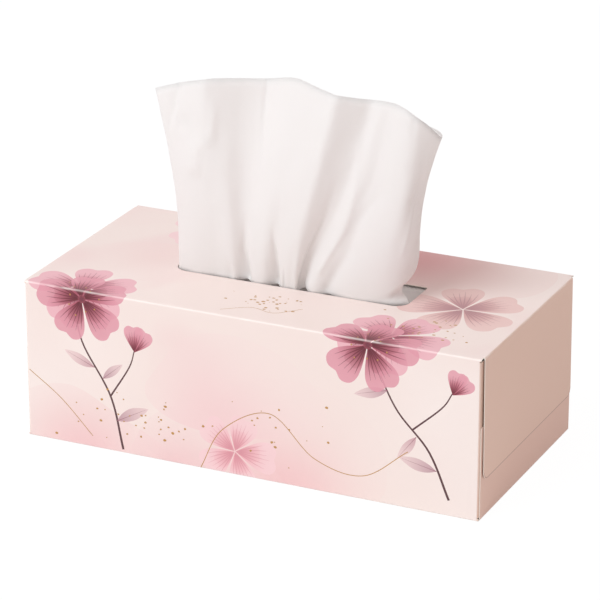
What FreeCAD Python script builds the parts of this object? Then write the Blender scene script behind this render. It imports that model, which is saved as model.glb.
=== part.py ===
import FreeCAD, Part
import math
import os

import Sketcher
from FreeCAD import Vector

# A carton of facial tissues with one tissue standing out of the slot in its top.
# Frame: millimetres, +Z up, origin at the middle of the carton's underside, +X along the
# carton's length and -Y towards the long panel that is seen as the front.

# Driving dimensions

SIZES = {
    # The carton, folded from one printed blank
    "carton_length": 230.0,
    "carton_width": 114.0,
    "carton_height": 78.0,
    "board": 0.5,
    "crease_inner_radius": 0.4,
    "upper_flap_drop": 59.0,
    "upper_flap_inset": 3.0,
    "lower_flap_rise": 45.0,
    "lower_flap_inset": 1.2,
    "dust_flap_depth": 42.0,
    "dust_flap_inset": 1.6,
    "flap_corner_radius": 4.0,
    "seam_tab_height": 16.0,
    "seam_edge_rise": 0.2,
    # The slot left by the torn-out strip in the top panel
    "slot_length": 118.0,
    "slot_width": 28.0,
    "slot_front_radius": 7.0,
    "slot_rear_radius": 1.5,
    # The tissues
    "tissue_width": 200.0,
    "tissue_fold_depth": 100.0,
    "tissue_gauge": 0.24,
    "stack_side_bulge": 1.5,
    "stack_edge_radius": 1.2,
    "seat_clearance": 0.05,
    # The tissue that stands out of the slot
    "tail_headroom": 1.0,
    "tail_fold_height": 1.6,
    "tail_return": 50.0,
    "slot_side_clearance": 0.7,
    "slot_end_clearance": 1.1,
    "fan_rise": 97.0,
    "fan_spread": 142.0,
}

# The standing tissue's fold lines, from its left edge to the edge that curls back at its right,
# in percent. Each starts with how high it ends, of the rise. Its places at LEVELS follow: across,
# of half the fan's width at that level, and in depth, of half the room that the slot leaves.
FOLDS = {
    "left edge": (87, (-98, -85), (-95, -75), (-91, -70), (-100, -40)),
    "left crease": (93, (-89, -103), (-87, -95), (-86, -88), (-79, -60)),
    "left ridge": (97, (-73, -103), (-70, -104), (-66, -107), (-62, -103)),
    "ridge's far side": (98, (-60, -95), (-58, -94), (-59, -103), (-56, -90)),
    "white pleat": (98, (-45, -110), (-45, -113), (-49, -87), (-46, -63)),
    "wide trough": (98, (-42, -70), (-41, -74), (-41, -48), (-35, -32)),
    "trough's far side": (98, (-32, -104), (-30, -92), (-28, -50), (-21, -8)),
    "bright side": (101, (-19, -104), (-18, -110), (-16, -80), (-8, -32)),
    "small tuck": (103, (-14, -66), (-13, -90), (-4, -95), (4, -56)),
    "bright panel": (101, (-5, -110), (-1, -111), (8, -107), (17, -80)),
    "sharp ridge, near": (100, (3, -96), (7, -112), (17, -117), (30, -103)),
    "sharp ridge": (100, (8, -110), (11, -116), (23, -119), (36, -117)),
    "sharp ridge, far": (99, (9, -70), (14, -86), (29, -102), (41, -101)),
    "deep valley": (98, (11, -48), (16, -52), (38, -76), (48, -76)),
    "valley's far side": (97, (17, -103), (23, -70), (46, -52), (56, -56)),
    "narrow ridge": (98, (26, -103), (33, -108), (55, -84), (63, -66)),
    "soft valley": (98, (34, -88), (41, -80), (62, -62), (70, -70)),
    "lobe, near": (98, (48, -103), (56, -104), (73, -80), (77, -86)),
    "lobe": (96, (66, -103), (79, -116), (88, -111), (85, -98)),
    "lobe, far": (93, (81, -96), (91, -105), (93, -97), (91, -93)),
    "right turn, near": (89, (88, -92), (100, -70), (92, -67), (97, -70)),
    "right turn": (81, (92, -86), (105, -14), (89, -18), (102, -28)),
    "right turn, far": (82, (95, -76), (101, 48), (87, 46), (97, 36)),
    "curl": (82, (98, -64), (87, 80), (77, 79), (86, 75)),
    "curled edge": (83, (100, -50), (70, 67), (60, 71), (69, 75)),
}

# Where those places are, in percent of each line's own height above the top panel.
LEVELS = (0, 20, 55, 100)

# Shares of the way from the slot to the hidden fold at which the tail is given a row.
TAIL_SHARES = (0.62, 0.32, 0.08)

# Share of the way from the slot to the next level at which one more row keeps the sheet upright.
LIP_SHARE = 0.15

# How finely the smooth tissue is cut into flat facets: columns for each span between its inner
# fold lines, and for the rows the largest turn in degrees and the longest run in shares of the
# rise.
COLUMNS_PER_SPAN = 3
ROW_TURN = 22.0
ROW_RUN_SHARE = 0.13

# Sheet of sizes

DOC = FreeCAD.newDocument("TissueCarton")
CELLS = DOC.addObject("Spreadsheet::Sheet", "Sizes")
for row, (alias, size) in enumerate(SIZES.items(), start=1):
    CELLS.set(f"A{row}", alias)
    CELLS.set(f"B{row}", str(size))
    CELLS.setAlias(f"B{row}", alias)
DOC.recompute()


def size_of(expression):
    """The value of an expression in the sheet's aliases, in millimetres."""
    return float(CELLS.evalExpression(expression))


# Expressions that several features share

BOARD = "Sizes.board"
BEND = "(Sizes.crease_inner_radius + Sizes.board)"
HALF_LENGTH = "Sizes.carton_length / 2"
HALF_WIDTH = "Sizes.carton_width / 2"
HEIGHT = "Sizes.carton_height"
SLEEVE_END = f"({HALF_LENGTH} - 2 * {BOARD} - {BEND})"
FLAP_ROOT = f"({SLEEVE_END} - {BOARD})"
TAIL_TOP = f"({HEIGHT} - {BOARD} - Sizes.tail_headroom)"
LIP_RISE = "2 * Sizes.tail_headroom"
STACK_TOP = f"({TAIL_TOP} - Sizes.tissue_gauge - Sizes.tail_fold_height - Sizes.seat_clearance)"


# Helpers for sketches and features


def new_body(label):
    """A PartDesign body with the given label."""
    body = DOC.addObject("PartDesign::Body", label)
    body.Label = label
    return body


def plane(body, role):
    """One of the body's own origin planes."""
    return next(item for item in body.Origin.OriginFeatures if item.Role == role)


def new_sketch(body, name, role, offset="0"):
    """A sketch on an origin plane of the body, moved off it along its normal."""
    sketch = body.newObject("Sketcher::SketchObject", name)
    sketch.AttachmentSupport = [(plane(body, role), "")]
    sketch.MapMode = "FlatFace"
    if offset != "0":
        sketch.setExpression(".AttachmentOffset.Base.z", offset)
    return sketch


def draw_outline(sketch, corners):
    """A closed outline of straight lines whose corners are tied to expressions."""
    places = [Vector(size_of(x), size_of(y), 0) for x, y in corners]
    first = sketch.GeometryCount
    count = len(places)
    for i in range(count):
        sketch.addGeometry(Part.LineSegment(places[i], places[(i + 1) % count]), False)
    for i in range(count):
        joined = Sketcher.Constraint("Coincident", first + i, 2, first + (i + 1) % count, 1)
        sketch.addConstraint(joined)
    for i, corner in enumerate(corners):
        for kind, axis, expression in zip(("DistanceX", "DistanceY"), (-2, -1), corner):
            if expression == "0":
                sketch.addConstraint(Sketcher.Constraint("PointOnObject", first + i, 1, axis))
                continue
            value = size_of(expression)
            place = sketch.addConstraint(Sketcher.Constraint(kind, -1, 1, first + i, 1, value))
            sketch.setExpression(f"Constraints[{place}]", expression)


def pad(body, name, sketch, length, symmetric=False, reverse=False):
    """Adds a Pad of the sketch to the body."""
    feature = body.newObject("PartDesign::Pad", name)
    feature.Profile = sketch
    feature.setExpression("Length", length)
    feature.SideType = "Symmetric" if symmetric else "One side"
    feature.Reversed = reverse
    DOC.recompute()
    return feature


def edges_at(shape, direction, places, within=0.02):
    """Names of the straight edges along a direction that pass a place, given without that axis."""
    axis = "xyz".index(direction)
    found = []
    for number, edge in enumerate(shape.Edges, start=1):
        if edge.Curve.TypeId != "Part::GeomLine" or edge.Length < within:
            continue
        along = edge.Curve.Direction
        middle = edge.CenterOfMass
        if abs(abs(along[axis]) - 1) > 1e-6:
            continue
        spot = [middle[i] for i in range(3) if i != axis]
        if any(max(abs(a - b) for a, b in zip(spot, place)) < within for place in places):
            found.append(f"Edge{number}")
    return found


def fillet(body, name, base, direction, places, radius):
    """Rounds the edges of the body that run along a direction through the given places."""
    names = edges_at(base.Shape, direction, places)
    assert len(names) >= len(places), f"{name}: {len(names)} edges for {len(places)} places"
    feature = body.newObject("PartDesign::Fillet", name)
    feature.Base = (base, names)
    feature.setExpression("Radius", radius)
    DOC.recompute()
    return feature


# The carton


def add_sleeve(body):
    """The four panels and the glued seam as one bent strip, from the middle to one end."""
    sketch = new_sketch(body, "SleeveSection", "YZ_Plane")
    seam_face = f"{HALF_WIDTH} - {BOARD}"
    seam_edge = f"{BEND} + Sizes.seam_edge_rise"
    draw_outline(
        sketch,
        [
            (f"-({HALF_WIDTH})", "0"),
            (seam_face, "0"),
            (seam_face, seam_edge),
            (HALF_WIDTH, seam_edge),
            (HALF_WIDTH, HEIGHT),
            (f"-({HALF_WIDTH})", HEIGHT),
        ],
    )
    front_inside = f"-({HALF_WIDTH} - {BOARD})"
    tab_inside = f"{HALF_WIDTH} - 2 * {BOARD}"
    draw_outline(
        sketch,
        [
            (front_inside, BOARD),
            (tab_inside, BOARD),
            (tab_inside, "Sizes.seam_tab_height"),
            (seam_face, "Sizes.seam_tab_height"),
            (seam_face, f"{HEIGHT} - {BOARD}"),
            (front_inside, f"{HEIGHT} - {BOARD}"),
        ],
    )
    sleeve = pad(body, "Sleeve", sketch, SLEEVE_END)
    half, board, height = size_of(HALF_WIDTH), size_of(BOARD), size_of(HEIGHT)
    outside = [(-half, 0.0), (half - board, 0.0), (half, height), (-half, height)]
    rounded = fillet(body, "SleeveCreases", sleeve, "x", outside, BEND)
    inside = [
        (-half + board, board),
        (half - 2 * board, board),
        (half - board, height - board),
        (-half + board, height - board),
    ]
    return fillet(body, "SleeveInside", rounded, "x", inside, "Sizes.crease_inner_radius")


def add_end_flap(body, name, reach, root_height, tip_height, inset):
    """A flap that bends from the top or the bottom panel over the carton's end."""
    downwards = size_of(tip_height) < size_of(root_height)
    inner_height = f"{root_height} {'-' if downwards else '+'} {BOARD}"
    sketch = new_sketch(body, f"{name}Section", "XZ_Plane")
    draw_outline(
        sketch,
        [
            (FLAP_ROOT, root_height),
            (reach, root_height),
            (reach, tip_height),
            (f"{reach} - {BOARD}", tip_height),
            (f"{reach} - {BOARD}", inner_height),
            (FLAP_ROOT, inner_height),
        ],
    )
    width = f"Sizes.carton_width - 2 * {inset}"
    flap = pad(body, name, sketch, width, symmetric=True)
    face, board = size_of(reach), size_of(BOARD)
    root, inner = size_of(root_height), size_of(inner_height)
    bent = fillet(body, f"{name}Crease", flap, "y", [(face, root)], BEND)
    inside = [(face - board, inner)]
    return fillet(body, f"{name}Inside", bent, "y", inside, "Sizes.crease_inner_radius")


def add_dust_flap(body, name, side):
    """A short flap that bends from the front (-1) or the back (+1) panel behind the others."""
    reach = f"({HALF_LENGTH} - 2 * {BOARD})"
    sketch = new_sketch(body, f"{name}Section", "XY_Plane", "Sizes.dust_flap_inset")
    draw_outline(
        sketch,
        [
            (FLAP_ROOT, f"{side} * {HALF_WIDTH}"),
            (reach, f"{side} * {HALF_WIDTH}"),
            (reach, f"{side} * ({HALF_WIDTH} - Sizes.dust_flap_depth)"),
            (f"{reach} - {BOARD}", f"{side} * ({HALF_WIDTH} - Sizes.dust_flap_depth)"),
            (f"{reach} - {BOARD}", f"{side} * ({HALF_WIDTH} - {BOARD})"),
            (FLAP_ROOT, f"{side} * ({HALF_WIDTH} - {BOARD})"),
        ],
    )
    flap = pad(body, name, sketch, f"{HEIGHT} - 2 * Sizes.dust_flap_inset")
    face, board = size_of(reach), size_of(BOARD)
    wall = side * size_of(HALF_WIDTH)
    bent = fillet(body, f"{name}Crease", flap, "z", [(face, wall)], BEND)
    inside = [(face - board, wall - side * board)]
    return fillet(body, f"{name}Inside", bent, "z", inside, "Sizes.crease_inner_radius")


def add_slot(body):
    """The slot in the top panel, rounded at the front where a finger starts the tear."""
    sketch = new_sketch(body, "SlotOutline", "XY_Plane", HEIGHT)
    half_slot = "Sizes.slot_length / 2"
    half_gap = "Sizes.slot_width / 2"
    draw_outline(
        sketch,
        [
            (f"-({half_slot})", f"-({half_gap})"),
            (half_slot, f"-({half_gap})"),
            (half_slot, half_gap),
            (f"-({half_slot})", half_gap),
        ],
    )
    before = body.Shape.Volume
    pocket = body.newObject("PartDesign::Pocket", "Slot")
    pocket.Profile = sketch
    pocket.setExpression("Length", f"2 * {BOARD}")
    DOC.recompute()
    gone = before - body.Shape.Volume
    wanted = size_of("Sizes.slot_length * Sizes.slot_width * Sizes.board")
    assert abs(gone - wanted) < 0.01 * wanted, f"the slot removed {gone:.1f} of {wanted:.1f} mm3"
    x, y = size_of(half_slot), size_of(half_gap)
    front = fillet(body, "SlotFront", pocket, "z", [(-x, -y), (x, -y)], "Sizes.slot_front_radius")
    return fillet(body, "SlotRear", front, "z", [(-x, y), (x, y)], "Sizes.slot_rear_radius")


def make_carton():
    """The carton: one folded and glued sheet of board, closed at both ends."""
    body = new_body("carton")
    add_sleeve(body)
    upper_tip = f"({HEIGHT} - Sizes.upper_flap_drop)"
    add_dust_flap(body, "FrontDustFlap", -1)
    add_dust_flap(body, "RearDustFlap", 1)
    lower_reach = f"({HALF_LENGTH} - {BOARD})"
    add_end_flap(body, "LowerFlap", lower_reach, "0", "Sizes.lower_flap_rise", "Sizes.lower_flap_inset")
    add_end_flap(body, "UpperFlap", HALF_LENGTH, HEIGHT, upper_tip, "Sizes.upper_flap_inset")
    corner = size_of("Sizes.carton_width / 2 - Sizes.upper_flap_inset")
    tip = size_of(upper_tip)
    places = [(-corner, tip), (corner, tip)]
    fillet(body, "UpperFlapCorners", body.Tip, "x", places, "Sizes.flap_corner_radius")
    mirror = body.newObject("PartDesign::Mirrored", "OtherEnd")
    mirror.TransformMode = "Whole shape"
    mirror.MirrorPlane = (plane(body, "YZ_Plane"), [""])
    body.Tip = mirror
    DOC.recompute()
    add_slot(body)
    return body


# The tissues


def make_stack():
    """The folded tissues still in the carton, as one block with bulging folded sides."""
    body = new_body("tissue_stack")
    sketch = new_sketch(body, "StackSection", "YZ_Plane")
    half = "Sizes.tissue_fold_depth / 2 - Sizes.stack_side_bulge"
    draw_outline(
        sketch,
        [
            (f"-({half})", BOARD),
            (half, BOARD),
            (half, STACK_TOP),
            (f"-({half})", STACK_TOP),
        ],
    )
    wall, low, high = size_of(half), size_of(BOARD), size_of(STACK_TOP)
    bow_side(sketch, 1, Vector(wall, low, 0), Vector(wall, high, 0), 1)
    bow_side(sketch, 3, Vector(-wall, high, 0), Vector(-wall, low, 0), -1)
    stack = pad(body, "Stack", sketch, "Sizes.tissue_width", symmetric=True)
    corners = [(y, z) for y in (-wall, wall) for z in (low, high)]
    fillet(body, "StackEdges", stack, "x", corners, "Sizes.stack_edge_radius")
    return body


def bow_side(sketch, line, start, end, outwards):
    """Puts an arc that bulges outwards in the place of one upright line of a sketch."""
    middle = (start + end) / 2 + Vector(outwards * size_of("Sizes.stack_side_bulge"), 0, 0)
    sketch.toggleConstruction(line)
    arc = sketch.addGeometry(Part.Arc(start, middle, end), False)
    sketch.addConstraint(Sketcher.Constraint("Coincident", arc, 1, line, 1))
    sketch.addConstraint(Sketcher.Constraint("Coincident", arc, 2, line, 2))
    chord = f"({STACK_TOP} - {BOARD})"
    radius = f"({chord} ^ 2 / 4 + Sizes.stack_side_bulge ^ 2) / (2 * Sizes.stack_side_bulge)"
    bound = sketch.addConstraint(Sketcher.Constraint("Radius", arc, size_of(radius)))
    sketch.setExpression(f"Constraints[{bound}]", radius)


def fan_net():
    """The net of control points of the standing tissue: rows from its tail to its free edge."""
    half_slot = size_of("Sizes.slot_length / 2 - Sizes.slot_end_clearance")
    half_spread = size_of("Sizes.fan_spread / 2")
    half_depth = size_of("Sizes.slot_width / 2 - Sizes.slot_side_clearance")
    rise, top = size_of("Sizes.fan_rise"), size_of(HEIGHT)
    fan_rows = []
    for number, percent in enumerate(LEVELS):
        level = percent / 100
        half = half_slot + (half_spread - half_slot) * level
        row = []
        for tip, *places in FOLDS.values():
            across, depth = (share / 100 for share in places[number])
            row.append(Vector(across * half, depth * half_depth, top + tip / 100 * rise * level))
        fan_rows.append(row)
    lip, above = fan_rows[:2]
    for place in lip:
        place.z += size_of(LIP_RISE)
    upright = [near + (far - near) * LIP_SHARE for near, far in zip(lip, above)]
    return tail_rows(lip, fan_rows[-1]) + [lip, upright] + fan_rows[1:]


def tail_rows(lip, tips):
    """Rows of the tail: back under the top panel, round the hidden fold and up to the slot."""
    upper = size_of(TAIL_TOP) - size_of("Sizes.tissue_gauge / 2")
    lower = upper - size_of("Sizes.tail_fold_height")
    fold = size_of("Sizes.tissue_fold_depth / 2")
    turn = size_of("Sizes.tail_fold_height")
    end = fold - size_of("Sizes.tail_return")
    half_width = size_of("Sizes.tissue_width / 2")
    lengths = [0.0]
    for near, far in zip(tips, tips[1:]):
        lengths.append(lengths[-1] + (far - near).Length)
    spread = [half_width * (2 * length / lengths[-1] - 1) for length in lengths]
    course = [(end, lower), ((end + fold) / 2, lower), (fold - turn, lower), (fold, lower)]
    course += [(fold, upper), (fold - turn, upper)]
    rows = [[Vector(x, y, z) for x in spread] for y, z in course]
    roots = [Vector(place.x, place.y, upper) for place in lip]
    for share in TAIL_SHARES:
        far = [Vector(x, fold, upper) for x in spread]
        rows.append([root + (end - root) * share for root, end in zip(roots, far)])
    return rows + [roots]


def smooth_surface(rows):
    """A cubic surface that follows a net of control points and ends on its borders."""

    def knots(count):
        inner = count - 4
        return [4] + [1] * inner + [4], [float(i) for i in range(inner + 2)]

    u_mults, u_knots = knots(len(rows))
    v_mults, v_knots = knots(len(rows[0]))
    surface = Part.BSplineSurface()
    surface.buildFromPolesMultsKnots(rows, u_mults, v_mults, u_knots, v_knots, False, False, 3, 3)
    return surface


def row_stations(line, longest):
    """Parameters along a curve at which it has turned by ROW_TURN or run on by a length."""
    first, last = line.FirstParameter, line.LastParameter
    steps = 2000
    stations, turned, run = [first], 0.0, 0.0
    for i in range(1, steps):
        before = first + (last - first) * (i - 1) / steps
        here = first + (last - first) * i / steps
        turned += math.degrees(line.tangent(before)[0].getAngle(line.tangent(here)[0]))
        run += (line.value(here) - line.value(before)).Length
        if turned >= ROW_TURN or run >= longest:
            stations.append(here)
            turned, run = 0.0, 0.0
    return stations + [last]


def facets(rows, columns):
    """Triangles of the closed skin of a sheet whose two sides are numbered row by row."""
    layer = rows * columns

    def pair(a, b, c, d):
        return [(a, b, c), (a, c, d)]

    def spot(side, row, column):
        return side * layer + row * columns + column

    found = []
    for i in range(rows - 1):
        for j in range(columns - 1):
            for side, order in ((0, 1), (1, -1)):
                ring = [(i, j), (i, j + 1), (i + 1, j + 1), (i + 1, j)][::order]
                found += pair(*(spot(side, *place) for place in ring))
    for i in range(rows - 1):
        for j, order in ((0, 1), (columns - 1, -1)):
            ring = [(0, i, j), (0, i + 1, j), (1, i + 1, j), (1, i, j)][::order]
            found += pair(*(spot(*place) for place in ring))
    for j in range(columns - 1):
        for i, order in ((0, -1), (rows - 1, 1)):
            ring = [(0, i, j), (0, i, j + 1), (1, i, j + 1), (1, i, j)][::-order]
            found += pair(*(spot(*place) for place in ring))
    return found


def make_popup():
    """The tissue that stands out of the slot: one thin sheet, gathered, with its tail folded."""
    surface = smooth_surface(fan_net())
    _, _, first, last = surface.bounds()
    count = COLUMNS_PER_SPAN * round(last - first)
    across = [first + (last - first) * i / count for i in range(count + 1)]
    middle = surface.vIso(across[count // 2])
    along = row_stations(middle, ROW_RUN_SHARE * size_of("Sizes.fan_rise"))
    half_gauge = size_of("Sizes.tissue_gauge / 2")
    points = []
    for lift in (-half_gauge, half_gauge):
        points += [surface.value(u, v) + surface.normal(u, v) * lift for u in along for v in across]
    skin = Part.Shape()
    skin.makeShapeFromMesh((points, facets(len(along), len(across))), size_of("Sizes.seat_clearance"))
    solid = Part.makeSolid(skin)
    if solid.Volume < 0:
        solid.reverse()
    feature = DOC.addObject("Part::Feature", "popup_tissue")
    feature.Shape = solid
    return feature


# Checks and export


def write_parts(objects):
    """Checks every object of the document, then writes one STEP file for each sub-part."""
    DOC.recompute()
    for item in DOC.Objects:
        assert not {"Invalid", "Error"} & set(item.State), f"{item.Name}: {item.State}"
    os.makedirs("parts", exist_ok=True)
    for item in objects:
        shape = item.Shape
        assert not shape.isNull() and shape.isValid(), f"{item.Label} is not a valid shape"
        print(item.Label, f"{len(shape.Solids)} solid, {len(shape.Faces)} faces", shape.BoundBox)
        shape.exportStep(f"parts/{item.Label}.step")


write_parts([make_carton(), make_stack(), make_popup()])
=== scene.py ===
import logging
import math
from dataclasses import dataclass, field
from enum import Enum
from typing import Callable, Sequence

import bpy
import numpy as np
from mathutils import Matrix, Vector
from mathutils.geometry import delaunay_2d_cdt


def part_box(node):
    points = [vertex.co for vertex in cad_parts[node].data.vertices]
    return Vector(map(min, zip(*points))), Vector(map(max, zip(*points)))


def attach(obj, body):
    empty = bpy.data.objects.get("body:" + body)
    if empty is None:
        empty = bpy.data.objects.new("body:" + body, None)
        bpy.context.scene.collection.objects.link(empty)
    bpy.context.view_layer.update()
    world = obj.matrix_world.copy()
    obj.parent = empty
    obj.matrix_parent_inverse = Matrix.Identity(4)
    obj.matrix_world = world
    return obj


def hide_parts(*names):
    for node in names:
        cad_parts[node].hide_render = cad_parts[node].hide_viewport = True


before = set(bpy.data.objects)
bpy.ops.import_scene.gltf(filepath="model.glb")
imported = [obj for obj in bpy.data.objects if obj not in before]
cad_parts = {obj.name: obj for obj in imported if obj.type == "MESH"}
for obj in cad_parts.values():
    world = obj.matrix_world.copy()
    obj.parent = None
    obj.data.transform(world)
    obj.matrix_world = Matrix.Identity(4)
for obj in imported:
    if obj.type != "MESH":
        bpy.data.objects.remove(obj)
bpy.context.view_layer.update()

log = logging.getLogger("tissue_box")

MM = 0.001
QUARTER = math.pi / 2


# Colour and node helpers


def linear(code: str) -> tuple[float, float, float, float]:
    """Turns an sRGB hex colour into linear light.

    Args:
        code: the colour as six hex digits.

    Returns:
        Red, green, blue and an alpha of 1, in linear light.
    """
    parts = [int(code[i : i + 2], 16) / 255 for i in (0, 2, 4)]
    light = [p / 12.92 if p <= 0.04045 else ((p + 0.055) / 1.055) ** 2.4 for p in parts]
    return (light[0], light[1], light[2], 1.0)


def add_node(tree: bpy.types.NodeTree, kind: str, links: dict | None = None, **settings) -> bpy.types.Node:
    """Adds a node to a tree, with its settings, its socket values and its links.

    Args:
        tree: the tree that gets the node.
        kind: the node's Blender type.
        links: input name or number to a value or to the output socket that feeds it.
        settings: attributes of the node itself.

    Returns:
        The new node.
    """
    node = tree.nodes.new(kind)
    for name, value in settings.items():
        setattr(node, name, value)
    for key, value in (links or {}).items():
        socket = node.inputs[key]
        if isinstance(value, bpy.types.NodeSocket):
            tree.links.new(value, socket)
        else:
            socket.default_value = value
    return node


def new_material(name: str) -> tuple[bpy.types.Material, bpy.types.NodeTree, bpy.types.Node]:
    """Makes an empty node material.

    Args:
        name: the material's name.

    Returns:
        The material, its tree and its Principled shader, which is already linked to the output.
    """
    material = bpy.data.materials.new(name)
    material.use_nodes = True
    tree = material.node_tree
    tree.nodes.clear()
    shader = add_node(tree, "ShaderNodeBsdfPrincipled")
    add_node(tree, "ShaderNodeOutputMaterial", {"Surface": shader.outputs["BSDF"]})
    return material, tree, shader


def replace_surface(tree: bpy.types.NodeTree, surface: bpy.types.NodeSocket) -> None:
    """Links another shader to a material's output."""
    output = next(node for node in tree.nodes if node.type == "OUTPUT_MATERIAL")
    tree.links.new(surface, output.inputs["Surface"])


def new_object(name: str, mesh: bpy.types.Mesh) -> bpy.types.Object:
    """Puts a mesh into the scene as an object at the origin.

    Args:
        name: the object's name.
        mesh: its mesh.

    Returns:
        The object.
    """
    piece = bpy.data.objects.new(name, mesh)
    bpy.context.scene.collection.objects.link(piece)
    return piece


def corner_points(mesh: bpy.types.Mesh) -> np.ndarray:
    """Reads which point each corner of a mesh's faces is on.

    Args:
        mesh: the mesh.

    Returns:
        The points' numbers, one for each corner.
    """
    index = np.zeros(len(mesh.loops), np.int32)
    mesh.loops.foreach_get("vertex_index", index)
    return index


def write_uv(mesh: bpy.types.Mesh, name: str, layout: np.ndarray) -> None:
    """Gives a mesh a UV map.

    Args:
        mesh: the mesh.
        name: the map's name.
        layout: a place in the map for each point of the mesh (n, 2).
    """
    uv = mesh.uv_layers.new(name=name)
    uv.data.foreach_set("uv", layout[corner_points(mesh)].astype(np.float32).ravel())


def smoothstep(low: float, high: float, value: np.ndarray) -> np.ndarray:
    """Eases from 0 at low to 1 at high."""
    share = np.clip((value - low) / (high - low), 0.0, 1.0)
    return share * share * (3.0 - 2.0 * share)


def inside_loop(loop: np.ndarray, points: np.ndarray) -> np.ndarray:
    """Tells which points lie inside a closed outline.

    Args:
        loop: the outline (n, 2).
        points: the points (m, 2).

    Returns:
        True or False for each point.
    """
    low, high = loop.min(0), loop.max(0)
    inside = ((points > low) & (points < high)).all(axis=1)
    x, y = points[inside].T[:, :, None]
    x0, y0 = loop.T[:, None, :]
    x1, y1 = np.roll(loop, -1, axis=0).T[:, None, :]
    level = (y0 > y) != (y1 > y)
    meets = x < x0 + (y - y0) * (x1 - x0) / np.where(y1 == y0, 1.0, y1 - y0)
    inside[inside] = (level & meets).sum(axis=1) % 2 == 1
    return inside


class LatticeNoise:
    """Smooth noise in the plane from a seeded lattice of values, the same in each run."""

    def __init__(self, seed: int, cells: int = 64) -> None:
        """Draws the lattice with a seed and a number of cells each way."""
        self.values = np.random.default_rng(seed).uniform(-1.0, 1.0, (cells, cells))
        self.cells = cells

    def at(self, x: np.ndarray, y: np.ndarray) -> np.ndarray:
        """Reads the noise.

        Args:
            x: first coordinate, in lattice cells.
            y: second coordinate, in lattice cells.

        Returns:
            Values from -1 to 1 in the shape of x.
        """
        column, row = np.floor(x).astype(int), np.floor(y).astype(int)
        across, up = x - column, y - row
        across = across * across * (3.0 - 2.0 * across)
        up = up * up * (3.0 - 2.0 * up)
        n = self.cells

        def corner(i: int, j: int) -> np.ndarray:
            """Values at one corner of each point's cell."""
            return self.values[(column + i) % n, (row + j) % n]

        near = corner(0, 0) * (1.0 - across) + corner(1, 0) * across
        far = corner(0, 1) * (1.0 - across) + corner(1, 1) * across
        return near * (1.0 - up) + far * up


# Finishes


@dataclass(frozen=True)
class PrintedBoard:
    """Coated paperboard printed in soft inks under a satin varnish.

    Attributes:
        ground: the pale pink of the whole board.
        wash: the deeper pink that runs over it like water.
        cloud: the lighter tone between the washes.
        worn_highlight: the pale tone on the creases: paper where the print is rubbed, and a painted
            highlight.
        roughness: the varnish's roughness.
        specular: the varnish's shine.
        wash_mm: size of a wash.
        cloud_mm: size of a cloud.
        fibre_mm: size of the fibres under the varnish.
        fibre_height: how deep the fibres are.
    """

    ground: str = "F1E0DA"
    wash: str = "EDCDCC"
    cloud: str = "F5E8E3"
    worn_highlight: str = "FFF6F0"
    roughness: float = 0.42
    specular: float = 0.35
    wash_mm: float = 90.0
    cloud_mm: float = 110.0
    fibre_mm: float = 0.35
    fibre_height: float = 0.2 * MM

    def build(self) -> bpy.types.Material:
        """Makes the material.

        Returns:
            The printed board material.
        """
        # The varnish gives the eye a soft sheen with no mirror image. The inks under it look watery,
        # and creases look lighter where they are rubbed and where a highlight is painted along them.
        material, tree, shader = new_material("printed_satin_paperboard")
        flat = add_node(tree, "ShaderNodeUVMap", uv_map="blank")
        noises = []
        for size, distortion in ((self.wash_mm, 0.5), (self.cloud_mm, 0.4)):
            grain = {"Scale": 1.0 / (size * MM), "Detail": 2.0, "Roughness": 0.4, "Distortion": distortion}
            noise = add_node(tree, "ShaderNodeTexNoise", {"Vector": flat.outputs["UV"], **grain})
            noises.append(noise.outputs["Fac"])
        wavy, soft = noises
        shares = []
        for value, low, high, top, easing in (
            (wavy, 0.50, 0.60, 0.6, "SMOOTHSTEP"),
            (soft, 0.40, 0.68, 1.0, "SMOOTHSTEP"),
            (soft, 0.47, 0.30, 0.8, "LINEAR"),
        ):
            limits = {1: low, 2: high, 3: 0.0, 4: top}
            share = add_node(tree, "ShaderNodeMapRange", {0: value, **limits}, interpolation_type=easing)
            shares.append(share.outputs[0])
        edge, depth, pale = shares
        washed = add_node(tree, "ShaderNodeMath", {0: edge, 1: depth}, operation="MULTIPLY")
        ink = add_node(tree, "ShaderNodeAttribute", attribute_name="ink")
        cover = add_node(tree, "ShaderNodeAttribute", attribute_name="ink_cover")
        wear_highlight = add_node(tree, "ShaderNodeAttribute", attribute_name="crease_wear_highlight")
        colour = linear(self.ground)
        # The last blend is the creases' pale tone: rubbed print and a painted highlight.
        for share, tone in (
            (pale, linear(self.cloud)),
            (washed.outputs[0], linear(self.wash)),
            (cover.outputs["Fac"], ink.outputs["Color"]),
            (wear_highlight.outputs["Fac"], linear(self.worn_highlight)),
        ):
            blend = {"Factor": share, "A": colour, "B": tone}
            colour = add_node(tree, "ShaderNodeMix", blend, data_type="RGBA").outputs["Result"]
        tree.links.new(colour, shader.inputs["Base Color"])
        # Real fibres are about 0.02 mm wide. They are drawn as coarse as they need to show.
        place = add_node(tree, "ShaderNodeTexCoord")
        grain = {"Vector": place.outputs["Object"], "Scale": 1.0 / (self.fibre_mm * MM), "Detail": 2.0}
        fibre = add_node(tree, "ShaderNodeTexNoise", grain)
        relief = {"Height": fibre.outputs["Fac"], "Strength": 0.05, "Distance": self.fibre_height}
        bump = add_node(tree, "ShaderNodeBump", relief)
        tree.links.new(bump.outputs["Normal"], shader.inputs["Normal"])
        shader.inputs["Roughness"].default_value = self.roughness
        shader.inputs["Specular IOR Level"].default_value = self.specular
        return material


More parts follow.
